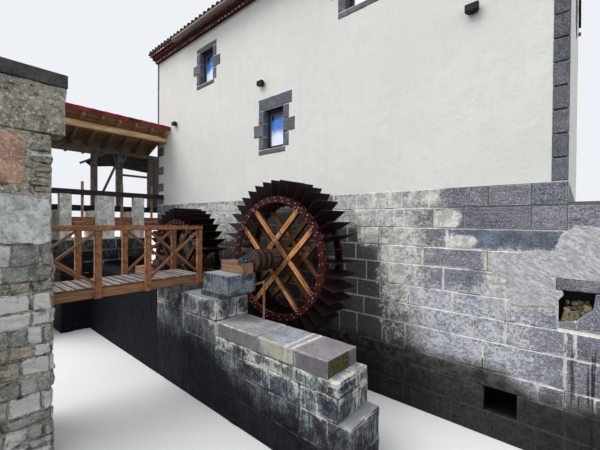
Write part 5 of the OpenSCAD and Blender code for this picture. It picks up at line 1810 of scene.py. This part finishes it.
class MILL_OT_canopy(Operator):
    """Boards, tiles and finishes the canopy over the sluice, and rebuilds its rear frame"""

    bl_idname = "mill.canopy"
    bl_label = "Canopy"

    def execute(self, context):
        t, r = settings("timber"), settings("roof")
        honey = timber("beam_honey", t.honey, 0.25, 0.12)
        spar = timber("spar_timber", shade(t.honey, 0.82), 0.25, 0.25, 0.7)
        dress_node("canopy_beams", "canopy_plates", honey, "honey_timber", 0.008)
        dress_node("canopy_rafters", "canopy_spars", spar, "honey_timber", 0.006)
        low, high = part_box("canopy_roof")
        slope = Vector((1, 0, math.tan(math.radians(CANOPY_PITCH)))).normalized()
        run = (high.x - low.x) / slope.x
        boards = Blocks(78)
        count = round(run / 0.12)
        side = Side((0, low.y, 0), (1, 0, 0), (0, 1, 0))
        side.turn = Matrix(((0, 1, 0), (1, 0, 0), (0, 0, 1))).to_4x4()
        foot, thick = Vector((low.x, 0, low.z)), 0.018
        for i in range(count):
            a, b = (foot + slope * (run * (i + share) / count) for share in (0, 1))
            end, rise = b.x - 0.004, b.z - 0.0016
            boards.patch(side, [(a.x, a.z), (end, rise), (end, rise + thick), (a.x, a.z + thick)],
                         high.y - low.y, 0.0)
        boards.finish("canopy_boards", spar, slot="honey_timber", replaces=("canopy_roof",))
        tile = clay("canopy_clay", r.canopy, 0.1)
        apron = Blocks(83)
        edge = Side((high.x, low.y, high.z), (0, 1, 0), (1, 0, 0))
        count = round((high.y - low.y) / 0.36)
        for i in range(count):
            a, b = ((high.y - low.y) * (i + share) / count for share in (0, 1))
            apron.patch(edge, [(a, -0.135), (b, -0.123), (b, -0.020), (a, -0.010)], 0.0, 0.02)
        apron.finish("canopy_apron", clay("apron_clay", shade(r.canopy, 0.75), 0.1), slot="roof_tile")
        foot = Vector((low.x, (low.y + high.y) / 2, low.z + CANOPY_THICK))
        half = (high.y - low.y) / 2
        lay_tiles("canopy_tiles", tile, foot, slope, (-half, half), run - 0.03, CANOPY_SPACING, 46, 0.72)
        cap = 0.075
        cap_tiles("canopy_caps", tile, (high.x - cap, high.y, high.z), (high.x - cap, low.y, high.z), cap, 47)
        rear_low, rear_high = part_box("canopy_posts")
        old = timber("old_timber", t.old, 0.1, 0.4)
        frame_bars = Blocks(79)
        x0, x1 = REAR_FRAME
        middle = (x0 + x1) / 2
        frame_bars.box((x0, rear_low.y, REAR_PLATE), (x1, rear_high.y, REAR_TIP))
        for y0, y1 in REAR_POSTS:
            frame_bars.box((x0, y0, REAR_FOOT), (x1, y1, REAR_PLATE))
        for (y0, z0), (y1, z1) in STRUTS:
            frame_bars.bar((middle, y0, z0), (middle, y1, z1), 0.07, 0.07)
        frame_bars.box(*REAR_RAIL)
        frame_bars.bevel(0.008, 1)
        frame_bars.finish("rear_frame", old, slot="old_timber", replaces=("canopy_posts",))
        weather = Blocks(80)
        weather.patch(Side((x0 - 0.03, 0, 0), (0, 1, 0), (1, 0, 0)), BOARDING, 0.035, 0.0)
        grey = timber("weather_timber", shade(t.old, 0.55), 0.1, 0.4)
        weather.finish("weather_boards", grey, slot="old_timber")
        return {"FINISHED"}


class MILL_OT_stage(Operator):
    """Sets the floor, the lamps and the camera"""

    bl_idname = "mill.stage"
    bl_label = "Stage"

    def execute(self, context):
        s = settings("stage")
        scene = context.scene
        scene.view_settings.view_transform = "Standard"
        shape = bmesh.new()
        bmesh.ops.create_grid(shape, x_segments=1, y_segments=1, size=150,
                              matrix=Matrix.Translation((0, 0, -0.004)))
        mesh = bpy.data.meshes.new("floor")
        shape.to_mesh(mesh)
        shape.free()
        floor = bpy.data.objects.new("floor", mesh)
        scene.collection.objects.link(floor)
        mesh.materials.append(floor_material(s.floor))
        scene.world = world_light(s)
        sun = bpy.data.lights.new("key", "SUN")
        sun.energy = s.sun
        sun.angle = s.sun_width
        lamp = bpy.data.objects.new("key", sun)
        lamp.rotation_euler = Vector(s.towards).to_track_quat("-Z", "Y").to_euler()
        scene.collection.objects.link(lamp)
        scene.camera = camera(s)
        return {"FINISHED"}


def floor_material(value):
    """Pale to the camera and in reflections, and darker as a source of bounced light."""
    f = Finish("floor", 0.9)
    path = f.node("ShaderNodeLightPath").outputs
    seen = f.most(path["Is Camera Ray"], path["Is Glossy Ray"])
    return f.paint(f.mix(seen, shade(value, 0.35), value))


def world_light(s):
    """An even sky, white where the camera looks straight at it."""
    world = bpy.data.worlds.new("studio")
    world.use_nodes = True
    tree = world.node_tree
    back = tree.nodes["Background"]
    back.inputs["Color"].default_value = (0.93, 0.96, 1.0, 1)
    path = tree.nodes.new("ShaderNodeLightPath")
    level = tree.nodes.new("ShaderNodeMapRange")
    tree.links.new(path.outputs["Is Camera Ray"], level.inputs["Value"])
    level.inputs["To Min"].default_value = s.sky
    level.inputs["To Max"].default_value = s.backdrop
    tree.links.new(level.outputs["Result"], back.inputs["Strength"])
    return world


def camera(s):
    """The camera at the photo's viewpoint, with its slight roll."""
    level = math.cos(s.pitch)
    ahead = Vector((level * math.cos(s.yaw), level * math.sin(s.yaw), math.sin(s.pitch)))
    right = Vector((math.sin(s.yaw), -math.cos(s.yaw), 0))
    down = ahead.cross(right)
    turned = math.cos(s.roll) * right + math.sin(s.roll) * down
    lowered = math.cos(s.roll) * down - math.sin(s.roll) * right
    data = bpy.data.cameras.new("camera")
    data.sensor_width = 36
    data.lens = 36 * s.focal
    data.clip_end = 400
    seen = bpy.data.objects.new("camera", data)
    bpy.context.scene.collection.objects.link(seen)
    seen.matrix_world = Matrix.Translation(s.eye) @ Matrix((turned, -lowered, -ahead)).transposed().to_4x4()
    return seen


OPERATORS = (
    MILL_OT_base_walls, MILL_OT_terrace_wall, MILL_OT_rendered_walls, MILL_OT_openings, MILL_OT_lamps,
    MILL_OT_cornices, MILL_OT_roof, MILL_OT_floors, MILL_OT_race, MILL_OT_bearings, MILL_OT_wheels,
    MILL_OT_bank_wall, MILL_OT_footbridge, MILL_OT_sluice, MILL_OT_canopy, MILL_OT_stage,
)
GROUPS = {"stone": MillStoneSettings, "timber": MillTimberSettings, "iron": MillIronSettings,
          "roof": MillRoofSettings, "stage": MillStageSettings}


class MILL_PT_finish(Panel):
    """Lists the mill's finishing steps"""

    bl_idname = "MILL_PT_finish"
    bl_label = "Watermill"
    bl_space_type = "VIEW_3D"
    bl_region_type = "UI"
    bl_category = "Mill"

    def draw(self, context):
        for step in OPERATORS:
            self.layout.operator(step.bl_idname)


def register():
    """Adds the settings, the operators and the panel."""
    for group in GROUPS.values():
        bpy.utils.register_class(group)
    for name, group in GROUPS.items():
        setattr(bpy.types.Scene, "mill_" + name, PointerProperty(type=group))
    for step in OPERATORS + (MILL_PT_finish,):
        bpy.utils.register_class(step)


def unregister():
    """Takes away what register adds."""
    for step in reversed(OPERATORS + (MILL_PT_finish,)):
        bpy.utils.unregister_class(step)
    for name in GROUPS:
        delattr(bpy.types.Scene, "mill_" + name)
    for group in reversed(GROUPS.values()):
        bpy.utils.unregister_class(group)


def main():
    """Runs every step."""
    register()
    for step in OPERATORS:
        category, name = step.bl_idname.split(".")
        getattr(getattr(bpy.ops, category), name)()


if __name__ == "__main__":
    main()
